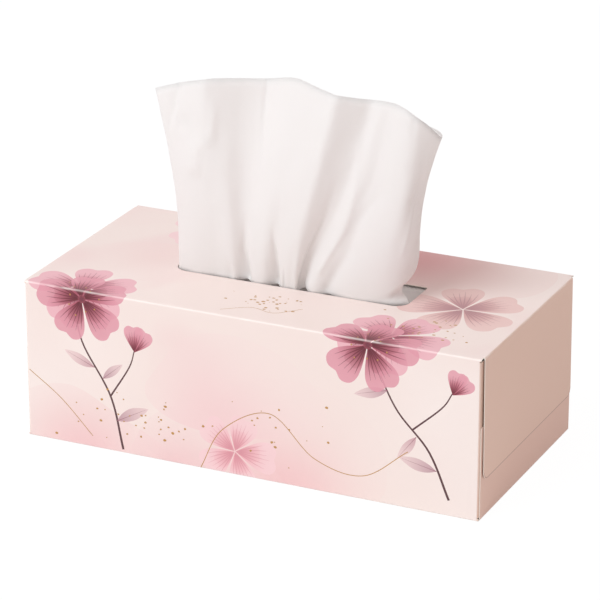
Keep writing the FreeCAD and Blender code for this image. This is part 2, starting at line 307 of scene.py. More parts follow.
@dataclass(frozen=True)
class PlainBoard:
    """Uncoated side or cut edge of recycled paperboard.

    Attributes:
        name: the material's name.
        shade: the pulp's colour.
        fleck: the colour of its paler fibres.
        roughness: its roughness.
        fibre_mm: size of a tuft of fibres.
    """

    name: str
    shade: str
    fleck: str
    roughness: float = 0.9
    fibre_mm: float = 0.6

    def build(self) -> bpy.types.Material:
        """Makes the material.

        Returns:
            The plain board material.
        """
        # Bare pulp gives the eye a pale, dull and faintly mottled surface. The tufts are real ones'
        # size, since single fibres don't show.
        material, tree, shader = new_material(self.name)
        place = add_node(tree, "ShaderNodeTexCoord")
        grain = {"Vector": place.outputs["Object"], "Scale": 1.0 / (self.fibre_mm * MM), "Detail": 3.0}
        fibre = add_node(tree, "ShaderNodeTexNoise", grain)
        blend = {"Factor": fibre.outputs["Fac"], "A": linear(self.shade), "B": linear(self.fleck)}
        tint = add_node(tree, "ShaderNodeMix", blend, data_type="RGBA")
        tree.links.new(tint.outputs["Result"], shader.inputs["Base Color"])
        shader.inputs["Roughness"].default_value = self.roughness
        return material


@dataclass(frozen=True)
class GoldInk:
    """Bronze-gold ink.

    Attributes:
        shade: the ink's colour.
        metallic: how much of it is metal flake.
        roughness: its roughness.
    """

    shade: str = "BC8E50"
    metallic: float = 0.3
    roughness: float = 0.45

    def build(self) -> bpy.types.Material:
        """Makes the material.

        Returns:
            The gold ink material.
        """
        # Flakes in a clear binder give the eye a dull warm glint, darker than the varnish round it.
        material, _, shader = new_material("bronze_gold_ink")
        shader.inputs["Base Color"].default_value = linear(self.shade)
        shader.inputs["Metallic"].default_value = self.metallic
        shader.inputs["Roughness"].default_value = self.roughness
        return material


@dataclass(frozen=True)
class CrepedTissue:
    """Two-ply facial tissue of soft white pulp, creped in fine rows.

    Attributes:
        shade: the pulp's colour.
        crepe_mm: distance between the rows of crepe.
        crepe_height: how deep the rows are.
        row_scale: scale of the noise along a row, which draws it out.
        roughness: its roughness.
        specular: its shine.
        nap: strength of its fuzz.
        nap_roughness: roughness of its fuzz.
        passing: share of the light that passes through.
    """

    shade: str = "FDFBFA"
    crepe_mm: float = 0.55
    crepe_height: float = 0.2 * MM
    row_scale: float = 0.35
    roughness: float = 1.0
    specular: float = 0.15
    nap: float = 0.12
    nap_roughness: float = 0.6
    passing: float = 0.48

    def build(self) -> bpy.types.Material:
        """Makes the material.

        Returns:
            The tissue material.
        """
        # Loose creped pulp gives the eye a matte, faintly ribbed and fuzzy white that glows a little
        # where light comes through.
        material, tree, shader = new_material("creped_two_ply_tissue")
        shader.inputs["Base Color"].default_value = linear(self.shade)
        shader.inputs["Roughness"].default_value = self.roughness
        shader.inputs["Specular IOR Level"].default_value = self.specular
        shader.inputs["Sheen Weight"].default_value = self.nap
        shader.inputs["Sheen Roughness"].default_value = self.nap_roughness
        # Real crepe rows are about 0.25 mm apart. They are drawn as coarse as they need to show.
        flat = add_node(tree, "ShaderNodeUVMap", uv_map="sheet")
        drawn_out = {"Vector": flat.outputs["UV"], "Scale": (self.row_scale, 1.0, 1.0)}
        rows = add_node(tree, "ShaderNodeMapping", drawn_out, vector_type="POINT")
        grain = {"Vector": rows.outputs["Vector"], "Scale": 1.0 / (self.crepe_mm * MM), "Detail": 2.0}
        crepe = add_node(tree, "ShaderNodeTexNoise", grain)
        relief = {"Height": crepe.outputs["Fac"], "Strength": 0.12, "Distance": self.crepe_height}
        bump = add_node(tree, "ShaderNodeBump", relief)
        tree.links.new(bump.outputs["Normal"], shader.inputs["Normal"])
        through = add_node(tree, "ShaderNodeBsdfTranslucent", {"Color": linear(self.shade)})
        sides = {0: self.passing, 1: shader.outputs["BSDF"], 2: through.outputs["BSDF"]}
        replace_surface(tree, add_node(tree, "ShaderNodeMixShader", sides).outputs[0])
        return material


# The carton's printed blank


class Face(Enum):
    """What a face of the board shows, in the order of the carton's materials."""

    PRINT = 0
    INSIDE = 1
    EDGE = 2
    GOLD = 3


@dataclass(frozen=True)
class Mark:
    """One printed shape on the flat blank.

    Attributes:
        outline: closed outline in blank coordinates, in metres.
        colours: function of points (n, 2) that gives their linear colour and cover (n, 4).
        gold: True for a shape in gold ink.
    """

    outline: np.ndarray
    colours: Callable[[np.ndarray], np.ndarray]
    gold: bool = False


def plain_ink(code: str, cover: float = 1.0) -> Callable[[np.ndarray], np.ndarray]:
    """Makes a colour function for an even ink.

    Args:
        code: the ink as six hex digits.
        cover: how much of the ground it hides.

    Returns:
        The colour function.
    """
    tone = np.array(linear(code)[:3] + (cover,))
    return lambda points: np.tile(tone, (len(points), 1))


def wash_ink(
    centre: np.ndarray, reach: float, inner: str, outer: str, cover: tuple[float, float]
) -> Callable[[np.ndarray], np.ndarray]:
    """Makes a colour function that runs from one ink to another away from a point.

    Args:
        centre: where the first ink is.
        reach: distance at which the second ink is reached.
        inner: the first ink as six hex digits.
        outer: the second ink as six hex digits.
        cover: cover at the centre and at the reach.

    Returns:
        The colour function.
    """
    start = np.array(linear(inner)[:3] + (cover[0],))
    end = np.array(linear(outer)[:3] + (cover[1],))

    def colours(points: np.ndarray) -> np.ndarray:
        """Linear colours and cover at points."""
        share = smoothstep(0.0, 1.0, np.linalg.norm(points - centre, axis=1) / reach)[:, None]
        return start * (1.0 - share) + end * share

    return colours


def turned(points: np.ndarray, degrees: float) -> np.ndarray:
    """Turns points in the plane about the origin.

    Args:
        points: the points (n, 2).
        degrees: the turn, anticlockwise.

    Returns:
        The turned points.
    """
    angle = math.radians(degrees)
    turn = np.array([[math.cos(angle), math.sin(angle)], [-math.sin(angle), math.cos(angle)]])
    return points @ turn


def curve_through(points: Sequence[tuple[float, float]], count: int) -> np.ndarray:
    """Samples a smooth curve through points, evenly in its parameter.

    Args:
        points: the places that the curve passes.
        count: how many samples to return.

    Returns:
        The samples (count, 2).
    """
    p = np.array(points, float)
    p = np.vstack([2 * p[0] - p[1], p, 2 * p[-1] - p[-2]])
    s = np.linspace(0.0, len(points) - 1.000001, count)
    i = s.astype(int)
    t = (s - i)[:, None]
    a, b, c, d = p[i], p[i + 1], p[i + 2], p[i + 3]
    return 0.5 * (2 * b + (c - a) * t + (2 * a - 5 * b + 4 * c - d) * t**2 + (3 * b - a - 3 * c + d) * t**3)


def stroke(line: np.ndarray, widths: Sequence[float]) -> np.ndarray:
    """Outlines a line drawn with a width that changes along it.

    Args:
        line: the points of the line.
        widths: widths at even places along it.

    Returns:
        The closed outline.
    """
    along = np.gradient(line, axis=0)
    along /= np.linalg.norm(along, axis=1, keepdims=True) + 1e-12
    side = np.stack([-along[:, 1], along[:, 0]], 1)
    width = np.interp(np.linspace(0, 1, len(line)), np.linspace(0, 1, len(widths)), widths)[:, None] / 2
    return np.vstack([line + side * width, (line - side * width)[::-1]])


@dataclass
class FoldPath:
    """A strip's course in section: straight legs with a round bend after each but the last.

    Attributes:
        start: where the strip's outer face starts.
        heading: direction of its first leg.
        legs: straight lengths between the bends.
        radius: outer radius of each bend.
    """

    start: tuple[float, float]
    heading: tuple[float, float]
    legs: Sequence[float]
    radius: float

    def breaks(self) -> list[float]:
        """Works out where the legs and the bends start.

        Returns:
            Lengths along the strip, with its whole length as the last.
        """
        marks = [0.0]
        for number, leg in enumerate(self.legs):
            marks.append(marks[-1] + leg)
            if number < len(self.legs) - 1:
                marks.append(marks[-1] + QUARTER * self.radius)
        return marks

    def at(self, lengths: np.ndarray) -> tuple[np.ndarray, np.ndarray]:
        """Places and outward normals of the outer face.

        Args:
            lengths: lengths along the strip.

        Returns:
            Two arrays (n, 2): places and normals.
        """
        place = np.array(self.start, float)
        heading = np.array(self.heading, float)
        places = np.zeros((len(lengths), 2))
        normals = np.zeros((len(lengths), 2))
        marks = self.breaks()
        for number in range(len(marks) - 1):
            low, high = marks[number], marks[number + 1]
            first, last = number == 0, number == len(marks) - 2
            inside = (lengths >= (-np.inf if first else low)) & (lengths < (np.inf if last else high))
            along = (lengths[inside] - low)[:, None]
            normal = np.array([-heading[1], heading[0]])
            if number % 2 == 0:
                places[inside] = place + heading * along
                normals[inside] = normal
                place = place + heading * (high - low)
            else:
                angle = along / self.radius
                centre = place - normal * self.radius
                outward = normal * np.cos(angle) + heading * np.sin(angle)
                places[inside] = centre + outward * self.radius
                normals[inside] = outward
                place = centre + heading * self.radius
                heading = -normal
        return places, normals


@dataclass(frozen=True)
class FlapCut:
    """Sizes to which one kind of end flap is cut.

    Attributes:
        inset: how far its sides are from the panel's creases.
        laps: how many flaps lie outside it.
        depth: its length from the panel's end.
        corner: radius of its free corners.
        lift: how far its free edge has sprung away.
    """

    inset: float
    laps: int
    depth: float
    corner: float
    lift: float = 0.0


@dataclass(frozen=True)
class Flap:
    """One end flap on the blank, which is the same at both ends.

    Attributes:
        low: lower edge across the blank.
        high: upper edge across the blank.
        root: distance from the middle at which its crease starts.
        depth: length from there.
        corner: radius of its free corners.
        lift: how far its free edge has sprung away.
    """

    low: float
    high: float
    root: float
    depth: float
    corner: float
    lift: float


@dataclass
class CartonBlank:
    """The flat blank of the carton: its outline, its folds and where each point of it ends up.

    Attributes:
        length: the carton's length.
        width: the carton's width.
        height: the carton's height.
        board: the board's thickness.
        lap: thickness that a glued layer takes up.
        bend: outer radius of the creases.
        tab: width of the glue tab.
        tab_slope: how much shorter the tab is at its free edge, at each end.
        seam_rise: height of the back panel's free edge over the floor.
        slot: length and width of the slot.
        slot_radii: corner radii of the slot at its front and at its rear.
        bow: how far the long panels bulge.
        sag: how far the top sinks, as a share of the bow.
        corner_reach: how far the panels' creases reach past the sleeve's end.
        bend_steps: facets in a crease.
        upper_cut: sizes of the flaps on the top panel.
        lower_cut: sizes of the flaps on the bottom panel.
        dust_cut: sizes of the flaps on the front and back panels.
    """

    length: float
    width: float
    height: float
    board: float = 0.48 * MM
    lap: float = 0.5 * MM
    bend: float = 0.9 * MM
    tab: float = 16.0 * MM
    tab_slope: float = 9.0 * MM
    seam_rise: float = 1.1 * MM
    slot: tuple[float, float] = (118.0 * MM, 28.0 * MM)
    slot_radii: tuple[float, float] = (7.0 * MM, 1.5 * MM)
    bow: float = 0.35 * MM
    sag: float = 0.7
    corner_reach: float = 1.1 * MM
    bend_steps: int = 6
    upper_cut: FlapCut = FlapCut(3.0 * MM, 0, 59.0 * MM, 4.0 * MM, 0.5 * MM)
    lower_cut: FlapCut = FlapCut(1.2 * MM, 1, 45.0 * MM, 1.0 * MM)
    dust_cut: FlapCut = FlapCut(1.6 * MM, 2, 42.0 * MM, 1.5 * MM)

    def __post_init__(self) -> None:
        """Works out the strip's course and the flaps from the sizes."""
        half = self.width / 2
        r = self.bend
        self.sleeve_end = self.length / 2 - 2 * self.lap - r
        legs = [
            self.tab - r,
            self.width - self.lap - 2 * r,
            self.height - 2 * r,
            self.width - 2 * r,
            self.height - r - self.seam_rise,
        ]
        self.path = FoldPath((half - self.lap, self.tab), (0.0, -1.0), legs, r)
        marks = self.path.breaks()
        self.tab_span, self.bottom_span, self.front_span = marks[0:2], marks[2:4], marks[4:6]
        self.top_span, self.back_span = marks[6:8], marks[8:10]
        self.fold_zero = (self.front_span[1] + self.top_span[0]) / 2
        self.flaps = [
            self.flap(self.top_span, self.upper_cut),
            self.flap(self.bottom_span, self.lower_cut),
            self.flap(self.front_span, self.dust_cut),
            self.flap(self.back_span, self.dust_cut),
        ]

    def flap(self, span: Sequence[float], cut: FlapCut) -> Flap:
        """Makes a flap on a panel.

        Args:
            span: the panel's stretch across the blank.
            cut: the flap's sizes.

        Returns:
            The flap.
        """
        inset = cut.inset - self.bend
        root = self.length / 2 - cut.laps * self.lap - self.bend
        depth = cut.depth - self.bend + QUARTER * self.bend
        return Flap(span[0] + inset, span[1] - inset, root, depth, cut.corner, cut.lift)

    def outline(self) -> np.ndarray:
        """Draws the blank's outer outline.

        Returns:
            Its points, anticlockwise, in blank coordinates.
        """
        right = [(self.sleeve_end - self.tab_slope, 0.0), (self.sleeve_end, self.tab_span[1])]
        corner = self.sleeve_end + self.corner_reach
        order = (self.flaps[1], self.flaps[2], self.flaps[0], self.flaps[3])
        for number, flap in enumerate(order):
            tip = flap.root + flap.depth
            right += [(self.sleeve_end, flap.low)]
            right += self.rounded(tip, flap.low, flap.high, flap.corner)
            right += [(self.sleeve_end, flap.high)]
            if number < len(order) - 1:
                after = order[number + 1].low
                gap = 0.2 * (after - flap.high)
                right += [(corner, flap.high + gap), (corner, after - gap)]
        right.append((self.sleeve_end, self.back_span[1]))
        right = [p for i, p in enumerate(right) if i == 0 or math.dist(p, right[i - 1]) > 1e-7]
        left = [(-x, y) for x, y in reversed(right)]
        return np.array(right + left)

    @staticmethod
    def arc(x: float, y: float, radius: float, start: float, steps: int) -> list[tuple[float, float]]:
        """Draws a quarter of a circle, anticlockwise.

        Args:
            x: its centre along the carton.
            y: its centre across the blank.
            radius: its radius.
            start: the angle at which it starts.
            steps: how many pieces it has.

        Returns:
            Its points.
        """
        angles = [start + QUARTER * step / steps for step in range(steps + 1)]
        return [(x + radius * math.cos(angle), y + radius * math.sin(angle)) for angle in angles]

    def rounded(
        self, tip: float, low: float, high: float, corner: float, steps: int = 5
    ) -> list[tuple[float, float]]:
        """Draws the two rounded free corners of a flap.

        Args:
            tip: the flap's free edge.
            low: its lower side.
            high: its upper side.
            corner: radius of the corners.
            steps: how many pieces each has.

        Returns:
            Their points, from the lower to the upper side.
        """
        lower = self.arc(tip - corner, low + corner, corner, -QUARTER, steps)
        return lower + self.arc(tip - corner, high - corner, corner, 0.0, steps)

    def slot_outline(self, steps: int = 8) -> np.ndarray:
        """Draws the slot in the top panel, round at the front and nearly square behind.

        Args:
            steps: how many pieces each corner has.

        Returns:
            Its points, anticlockwise, in blank coordinates.
        """
        half_length, half_width = self.slot[0] / 2, self.slot[1] / 2
        middle = (self.top_span[0] + self.top_span[1]) / 2
        front, rear = self.slot_radii
        corners = ((-1, -1, front), (1, -1, front), (1, 1, rear), (-1, 1, rear))
        points = []
        for turns, (x, y, radius) in enumerate(corners):
            centre = (x * (half_length - radius), middle + y * (half_width - radius))
            points += self.arc(*centre, radius, (turns - 2) * QUARTER, steps)
        return np.array(points)

    def fold_lines(self) -> list[tuple[tuple[float, float], tuple[float, float]]]:
        """Draws the lines at which the blank's surface starts, keeps and ends bending.

        Returns:
            The two ends of each line.
        """
        lines = []
        marks = self.path.breaks()
        for number in range(1, len(marks) - 1, 2):
            for step in range(self.bend_steps + 1):
                y = marks[number] + (marks[number + 1] - marks[number]) * step / self.bend_steps
                reach = self.sleeve_end + (self.corner_reach if 1 < number < len(marks) - 2 else 0.0)
                lines.append(((-reach, y), (reach, y)))
        turn = QUARTER * self.bend
        for flap in self.flaps:
            for step in range(self.bend_steps + 1):
                x = flap.root + turn * step / self.bend_steps
                lines += [((side * x, flap.low), (side * x, flap.high)) for side in (-1, 1)]
        return lines

    def folded(self, points: np.ndarray) -> tuple[np.ndarray, np.ndarray]:
        """Where points of the blank's printed face end up on the folded carton.

        Args:
            points: blank coordinates (n, 2).

        Returns:
            Places and outward normals, both (n, 3).
        """
        x, y = points[:, 0], points[:, 1]
        section, normal = self.path.at(y)
        place = np.column_stack([x, section])
        outward = np.column_stack([np.zeros(len(x)), normal])
        self.bow_panels(place, outward, x, y)
        side = np.sign(x)
        end = np.array([1.0, 0.0, 0.0])
        for flap in self.flaps:
            past = np.abs(x) - flap.root
            hit = (past > 0) & (y >= flap.low - 1e-6) & (y <= flap.high + 1e-6)
            if not hit.any():
                continue
            run = past[hit][:, None]
            out = end * side[hit][:, None]
            base = place[hit] - out * run
            across = outward[hit]
            angle = np.minimum(run / self.bend, QUARTER)
            straight = np.maximum(run - QUARTER * self.bend, 0.0)
            curved = out * self.bend * np.sin(angle) - across * self.bend * (1.0 - np.cos(angle))
            sprung = flap.lift * (straight / flap.depth) ** 2
            place[hit] = base + curved - across * straight + out * sprung
            outward[hit] = across * np.cos(angle) + out * np.sin(angle)
        return place, outward

    def bow_panels(self, place: np.ndarray, outward: np.ndarray, x: np.ndarray, y: np.ndarray) -> None:
        """Lets the long panels bulge a little between their creases, and the top sag.

        Args:
            place: the folded places, which are moved.
            outward: their normals.
            x: their places along the blank.
            y: their places across the blank.
        """
        spans = ((self.front_span, 1.0), (self.back_span, 1.0), (self.top_span, -self.sag))
        for span, share in spans:
            middle, half = (span[0] + span[1]) / 2, (span[1] - span[0]) / 2
            across = np.clip(1.0 - ((y - middle) / half) ** 2, 0.0, 1.0)
            along = np.clip(1.0 - (x / self.sleeve_end) ** 2, 0.0, 1.0)
            place += outward * (share * self.bow * across * along)[:, None]


class Petals(Enum):
    """Inks of petals: at their heart, at their rim and of their veins."""

    ROSE = ("A64E5F", "DE98A6", "642832")
    BLUSH = ("C87686", "E9B0BA", "94495A")
    BUD = ("B55D6E", "E19EAB", "73303C")
    DUSKY = ("CA9696", "E7C2BD", "AE7E82")
    FAINT = ("EAAEB5", "F2CFD1", "D7939D")


class Leaves(Enum):
    """Inks of leaves: at their foot and at their tip."""

    MAUVE = ("B9909A", "DDB9BC")
    PINK = ("C79AA2", "E5C3C4")


@dataclass
class BlossomPrint:
    """The carton's print: sprays of five-petalled blossoms, leaves, gold specks and a gold line.

    Places are in millimetres from the middle and above the top front crease.

    Attributes:
        blank: the blank that is printed.
        seed: seed of everything that is scattered.
        gold: ink of the gold marks.
        stem_ink: ink of the stems.
        speck_sizes: least and greatest radius of a speck, in millimetres.
        speck_gap: least distance between specks.
        marks: the printed shapes so far.
    """

    blank: CartonBlank
    seed: int = 7
    gold: str = "C79A5B"
    stem_ink: str = "5E3F42"
    speck_sizes: tuple[float, float] = (0.3, 0.95)
    speck_gap: float = 1.5 * MM
    marks: list[Mark] = field(default_factory=list)

    def add(self, outline: np.ndarray, colours: Callable[[np.ndarray], np.ndarray]) -> None:
        """Prints one more shape over the others."""
        self.marks.append(Mark(outline, colours))

    def add_gold(self, outline: np.ndarray) -> None:
        """Prints one more shape in gold over the others."""
        self.marks.append(Mark(outline, plain_ink(self.gold), gold=True))

    def place(self, x: float, up: float) -> np.ndarray:
        """Turns a place in millimetres into blank coordinates."""
        return np.array([x * MM, self.blank.fold_zero + up * MM])

    def curve(self, points: Sequence[tuple[float, float]], count: int) -> np.ndarray:
        """Samples a smooth curve through places in millimetres."""
        return curve_through([tuple(self.place(*point)) for point in points], count)

    @staticmethod
    def mirrored(points: Sequence[tuple[float, float]], count: int, share: float = 1.0) -> np.ndarray:
        """Draws a shape that is smooth along one side and the same on the other.

        Args:
            points: places along one side, the first and the last on the axis.
            count: how many samples one side has.
            share: width of the other side, as a share of this one.

        Returns:
            The closed outline.
        """
        upper = curve_through(points, count)
        return np.vstack([upper, upper[::-1][1:-1] * (1.0, -share)])

    def petal(self, centre: np.ndarray, angle: float, size: float, petals: Petals) -> None:
        """Adds one heart-shaped petal with a darker heart and a few veins.

        Args:
            centre: the blossom's centre.
            angle: direction of the petal in degrees.
            size: the petal's length.
            petals: its inks.
        """
        heart_ink, rim_ink, vein_ink = petals.value
        sides = ((0.02, 0.0), (0.12, 0.07), (0.38, 0.24), (0.66, 0.37), (0.88, 0.36))
        notch = ((1.0, 0.20), (0.95, 0.0))
        shape = self.mirrored(sides + notch, 22) * size
        heart = centre + turned(np.array([[0.1, 0.0]]) * size, angle)[0]
        body = wash_ink(heart, size * 0.8, heart_ink, rim_ink, (0.97, 0.9))
        self.add(turned(shape, angle) + centre, body)
        inner = turned(shape * (0.62, 0.5), angle + 5.0) + centre
        self.add(inner, wash_ink(heart, size * 0.66, vein_ink, heart_ink, (0.8, 0.12)))
        for number, lean in enumerate((-0.27, -0.15, -0.04, 0.07, 0.18, 0.29)):
            tip = 0.86 - 0.5 * abs(lean) - 0.05 * (number % 2)
            vein = curve_through([(0.10, lean * 0.12), (0.45, lean * 0.68), (tip, lean)], 10)
            line = turned(vein * size, angle) + centre
            width = 0.024 * size
            self.add(stroke(line, [width, width * 0.8, width * 0.15]), plain_ink(vein_ink, 0.7))

    def wash(
        self,
        points: Sequence[tuple[float, float]],
        start: tuple[float, float],
        reach: float,
        tones: tuple[str, str],
        cover: tuple[float, float],
    ) -> None:
        """Adds a broad watery wash with a soft-cornered outline.

        Args:
            points: places round it.
            start: where it is fullest.
            reach: how far it takes to fade, in millimetres.
            tones: inks where it is fullest and where it has faded.
            cover: cover at both.
        """
        ring = list(points) + list(points[:3])
        line = self.curve(ring, 12 * len(ring))
        self.add(line[12:-24], wash_ink(self.place(*start), reach * MM, *tones, cover))

    def blossom(
        self, x: float, up: float, size: float, turn: float, petals: Petals, eyed: bool = True
    ) -> None:
        """Adds a five-petalled blossom with a dark eye and gold-tipped stamens.

        Args:
            x: its centre along the carton.
            up: its centre above the crease.
            size: petal length in millimetres.
            turn: turn of the whole blossom in degrees.
            petals: inks of its petals.
            eyed: whether it has an eye and stamens.
        """
        centre = self.place(x, up)
        for number in (0, 2, 4, 1, 3):
            squeeze = 1.0 - 0.14 * abs(math.sin(math.radians(turn + 72.0 * number)))
            self.petal(centre, turn + 72.0 * number, size * MM * squeeze, petals)
        if not eyed:
            return
        eye = self.disc(centre, 0.085 * size * MM)
        self.add(eye, wash_ink(centre, 0.1 * size * MM, "6A2F38", "984A57", (1.0, 0.9)))
        for number in range(9):
            reach = (0.26 + 0.06 * (number % 3)) * size * MM
            tip = centre + turned(np.array([[reach, 0.0]]), turn + 20.0 + 40.0 * number)[0]
            self.add(stroke(np.linspace(centre, tip, 3), [0.22 * MM] * 2), plain_ink("7A3B4C", 0.9))
            self.add_gold(self.disc(tip, 0.42 * MM))

    @staticmethod
    def disc(centre: np.ndarray, radius: float, count: int = 9) -> np.ndarray:
        """Draws the outline of a small round dot."""
        angles = np.linspace(0.0, 2 * math.pi, count, endpoint=False)
        return centre + radius * np.column_stack([np.cos(angles), np.sin(angles)])

    def stem(self, points: Sequence[tuple[float, float]], width: float) -> None:
        """Adds a thin dark stem with a width in millimetres at its foot."""
        widths = [width * MM, 0.75 * width * MM, 0.6 * width * MM]
        self.add(stroke(self.curve(points, 26), widths), plain_ink(self.stem_ink))

    def leaf(self, x: float, up: float, angle: float, size: float, leaves: Leaves) -> None:
        """Adds a slim leaf with a midrib.

        Args:
            x: its foot along the carton.
            up: its foot above the crease.
            angle: its direction in degrees.
            size: its length in millimetres.
            leaves: its inks.
        """
        foot = self.place(x, up)
        half = ((0.0, 0.0), (0.25, 0.13), (0.55, 0.17), (0.85, 0.08), (1.0, 0.0))
        shape = turned(self.mirrored(half, 16, 0.8) * size * MM, angle) + foot
        self.add(shape, wash_ink(foot, size * MM, *leaves.value, (0.85, 0.6)))
        rib = turned(np.linspace((0.0, 0.0), (0.9, 0.01), 8) * size * MM, angle) + foot
        self.add(stroke(rib, [0.3 * MM, 0.08 * MM]), plain_ink("8A4A57", 0.7))

    def bud(self, x: float, up: float, angle: float, size: float) -> None:
        """Adds a closed bud of two overlapping petals."""
        for lean in (-16.0, 14.0):
            self.petal(self.place(x, up), angle + lean, size * MM, Petals.BUD)

    def specks(self, x: float, up: float, spread: tuple[float, float], count: int, salt: int) -> None:
        """Scatters gold specks about a place, none of them past the panels' ends.

        Args:
            x: middle of the cloud along the carton.
            up: its middle above the crease.
            spread: its spread along and up in millimetres.
            count: number of specks.
            salt: number that sets this cloud's seed apart.
        """
        draw = np.random.default_rng(self.seed + salt)
        kept: list[np.ndarray] = []
        while len(kept) < count:
            spot = self.place(x + draw.normal(0, spread[0]), up + draw.normal(0, spread[1]))
            radius = draw.uniform(*self.speck_sizes) * MM
            apart = all(math.dist(spot, other) > self.speck_gap for other in kept)
            if apart and abs(spot[0]) < self.blank.sleeve_end:
                kept.append(spot)
                wobble = draw.uniform(0.75, 1.2, 7)[:, None]
                round_spot = self.disc(np.zeros(2), 1.0, 7) * (1.0, 0.8)
                self.add_gold(spot + round_spot * wobble * radius)

    def gold_line(self, points: Sequence[tuple[float, float]], width: float) -> None:
        """Adds a fine gold line with a width in millimetres."""
        self.add_gold(stroke(self.curve(points, 14 * len(points)), [width * MM] * 2))

    def painted_end_shade(self) -> None:
        """Paints shade on the end flaps as a deeper blush, with a painted shadow line along the upper one's
        edge.
        """
        # The deeper blush is painted shade that darkens the carton's ends beyond the light.
        for flap, ink in zip(self.blank.flaps, ("E6C2AF", "E5BEAD", "E6C2AF", "E6C2AF")):
            start, tip = flap.root + 0.4 * MM, flap.root + flap.depth + 2.0 * MM
            low, high = flap.low - MM, flap.high + MM
            box = np.array([(start, low), (tip, low), (tip, high), (start, high)])
            for side in (-1.0, 1.0):
                self.add(box * (side, 1.0), plain_ink(ink, 0.95))
        # The dark line along the upper flap's free edge is a painted shadow.
        upper, inset = self.blank.flaps[0], 0.35 * MM
        tip, low, high = upper.root + upper.depth - inset, upper.low + inset, upper.high - inset
        line = np.array(self.blank.rounded(tip, low, high, upper.corner - inset))
        for side in (-1.0, 1.0):
            self.add(stroke(line * (side, 1.0), [0.4 * MM] * 2), plain_ink("AE8477", 0.8))

    def washes(self) -> None:
        """Lays the watery washes, from the front's foot to the back of the top."""
        ring = [(-12, -80), (-20, -52), (0, -30), (34, -26), (62, -40), (70, -62), (58, -80)]
        self.wash(ring, start=(20, -84), reach=62, tones=("EDC0C1", "F1D8D4"), cover=(0.9, 0.1))
        ring = [(-118, -82), (-118, -58), (-92, -48), (-64, -60), (-44, -70), (-40, -82)]
        self.wash(ring, start=(-84, -88), reach=58, tones=("ECBFC1", "F1D6D3"), cover=(0.95, 0.1))
        ring = [(-52, -44), (-34, -16), (-6, -9), (24, -18), (40, -40), (14, -56), (-30, -58)]
        self.wash(ring, start=(-14, -56), reach=58, tones=("EFC9CA", "F2DBD8"), cover=(0.75, 0.2))
        ring = [(-58, -82), (-54, -62), (-34, -48), (-8, -54), (10, -68), (16, -82)]
        self.wash(ring, start=(-34, -88), reach=48, tones=("E9BCBF", "F1D6D4"), cover=(0.85, 0.1))
        ring = [(-100, 30), (-70, 22), (-40, 34), (-44, 62), (-76, 72), (-104, 58)]
        self.wash(ring, start=(-70, 52), reach=44, tones=("F0CFCC", "F1D9D5"), cover=(0.45, 0.05))
        ring = [(24, 74), (46, 58), (82, 64), (108, 84), (100, 118), (30, 118)]
        self.wash(ring, start=(40, 104), reach=66, tones=("D79899", "EBC6C2"), cover=(0.95, 0.2))

    def pale_blossoms(self) -> None:
        """Prints the pale blossoms that lie behind the sprays."""
        self.blossom(84.0, 52.0, 30.0, 40.0, Petals.DUSKY, False)
        self.blossom(-60.0, 96.0, 28.0, 12.0, Petals.FAINT, False)
        self.blossom(-6.0, -66.0, 21.0, 70.0, Petals.FAINT, False)

    def left_spray(self) -> None:
        """Prints the spray over the left end of the top front crease."""
        self.stem([(-64.0, -76.0), (-70.0, -50.0), (-84.0, -26.0), (-88.0, -8.0)], 1.2)
        self.stem([(-70.0, -50.0), (-60.0, -34.0), (-57.0, -25.0)], 0.9)
        self.leaf(-67.0, -62.0, 28.0, 19.0, Leaves.MAUVE)
        self.leaf(-78.0, -37.0, 158.0, 17.0, Leaves.PINK)
        self.leaf(-74.0, -42.0, 40.0, 14.0, Leaves.MAUVE)
        self.bud(-57.0, -26.0, 78.0, 13.0)
        self.blossom(-86.0, 4.0, 27.0, 100.0, Petals.BLUSH)
        self.blossom(-84.0, -4.0, 24.0, 28.0, Petals.ROSE)

    def right_spray(self) -> None:
        """Prints the spray over the right end of the top front crease."""
        self.stem([(100.0, -70.0), (90.0, -48.0), (74.0, -30.0), (62.0, -6.0)], 1.2)
        self.stem([(82.0, -39.0), (96.0, -26.0), (101.0, -18.0)], 0.9)
        self.leaf(94.0, -57.0, 168.0, 19.0, Leaves.MAUVE)
        self.leaf(84.0, -42.0, -128.0, 15.0, Leaves.PINK)
        self.leaf(70.0, -22.0, 195.0, 17.0, Leaves.MAUVE)
        self.bud(101.0, -19.0, 62.0, 12.0)
        self.blossom(67.0, 9.0, 28.0, 64.0, Petals.BLUSH)
        self.blossom(60.0, -2.0, 25.0, 8.0, Petals.ROSE)

    def gilding(self) -> None:
        """Prints the gold specks and the fine gold lines."""
        self.specks(-58.0, -58.0, (17.0, 6.0), 38, 1)
        self.specks(2.0, 22.0, (11.0, 5.0), 34, 2)
        self.specks(84.0, 28.0, (15.0, 8.0), 30, 3)
        self.specks(16.0, -52.0, (16.0, 8.0), 18, 4)
        self.gold_line([(-113.0, -44.0), (-96.0, -56.0), (-80.0, -72.0)], 0.38)
        loop = [(-24.0, -78.0), (-12.0, -56.0), (12.0, -44.0), (34.0, -62.0), (58.0, -66.0), (80.0, -50.0)]
        self.gold_line(loop, 0.38)
        self.gold_line([(-16.0, 6.0), (-4.0, 14.0), (8.0, 12.0), (18.0, 22.0)], 0.32)

    def draw(self) -> list[Mark]:
        """Lays out the whole print, back to front.

        Returns:
            The marks in the order in which they are printed.
        """
        # The end flaps' painted shade and shadow line go down first.
        self.painted_end_shade()
        self.washes()
        self.pale_blossoms()
        self.left_spray()
        self.right_spray()
        self.gilding()
        return self.marks


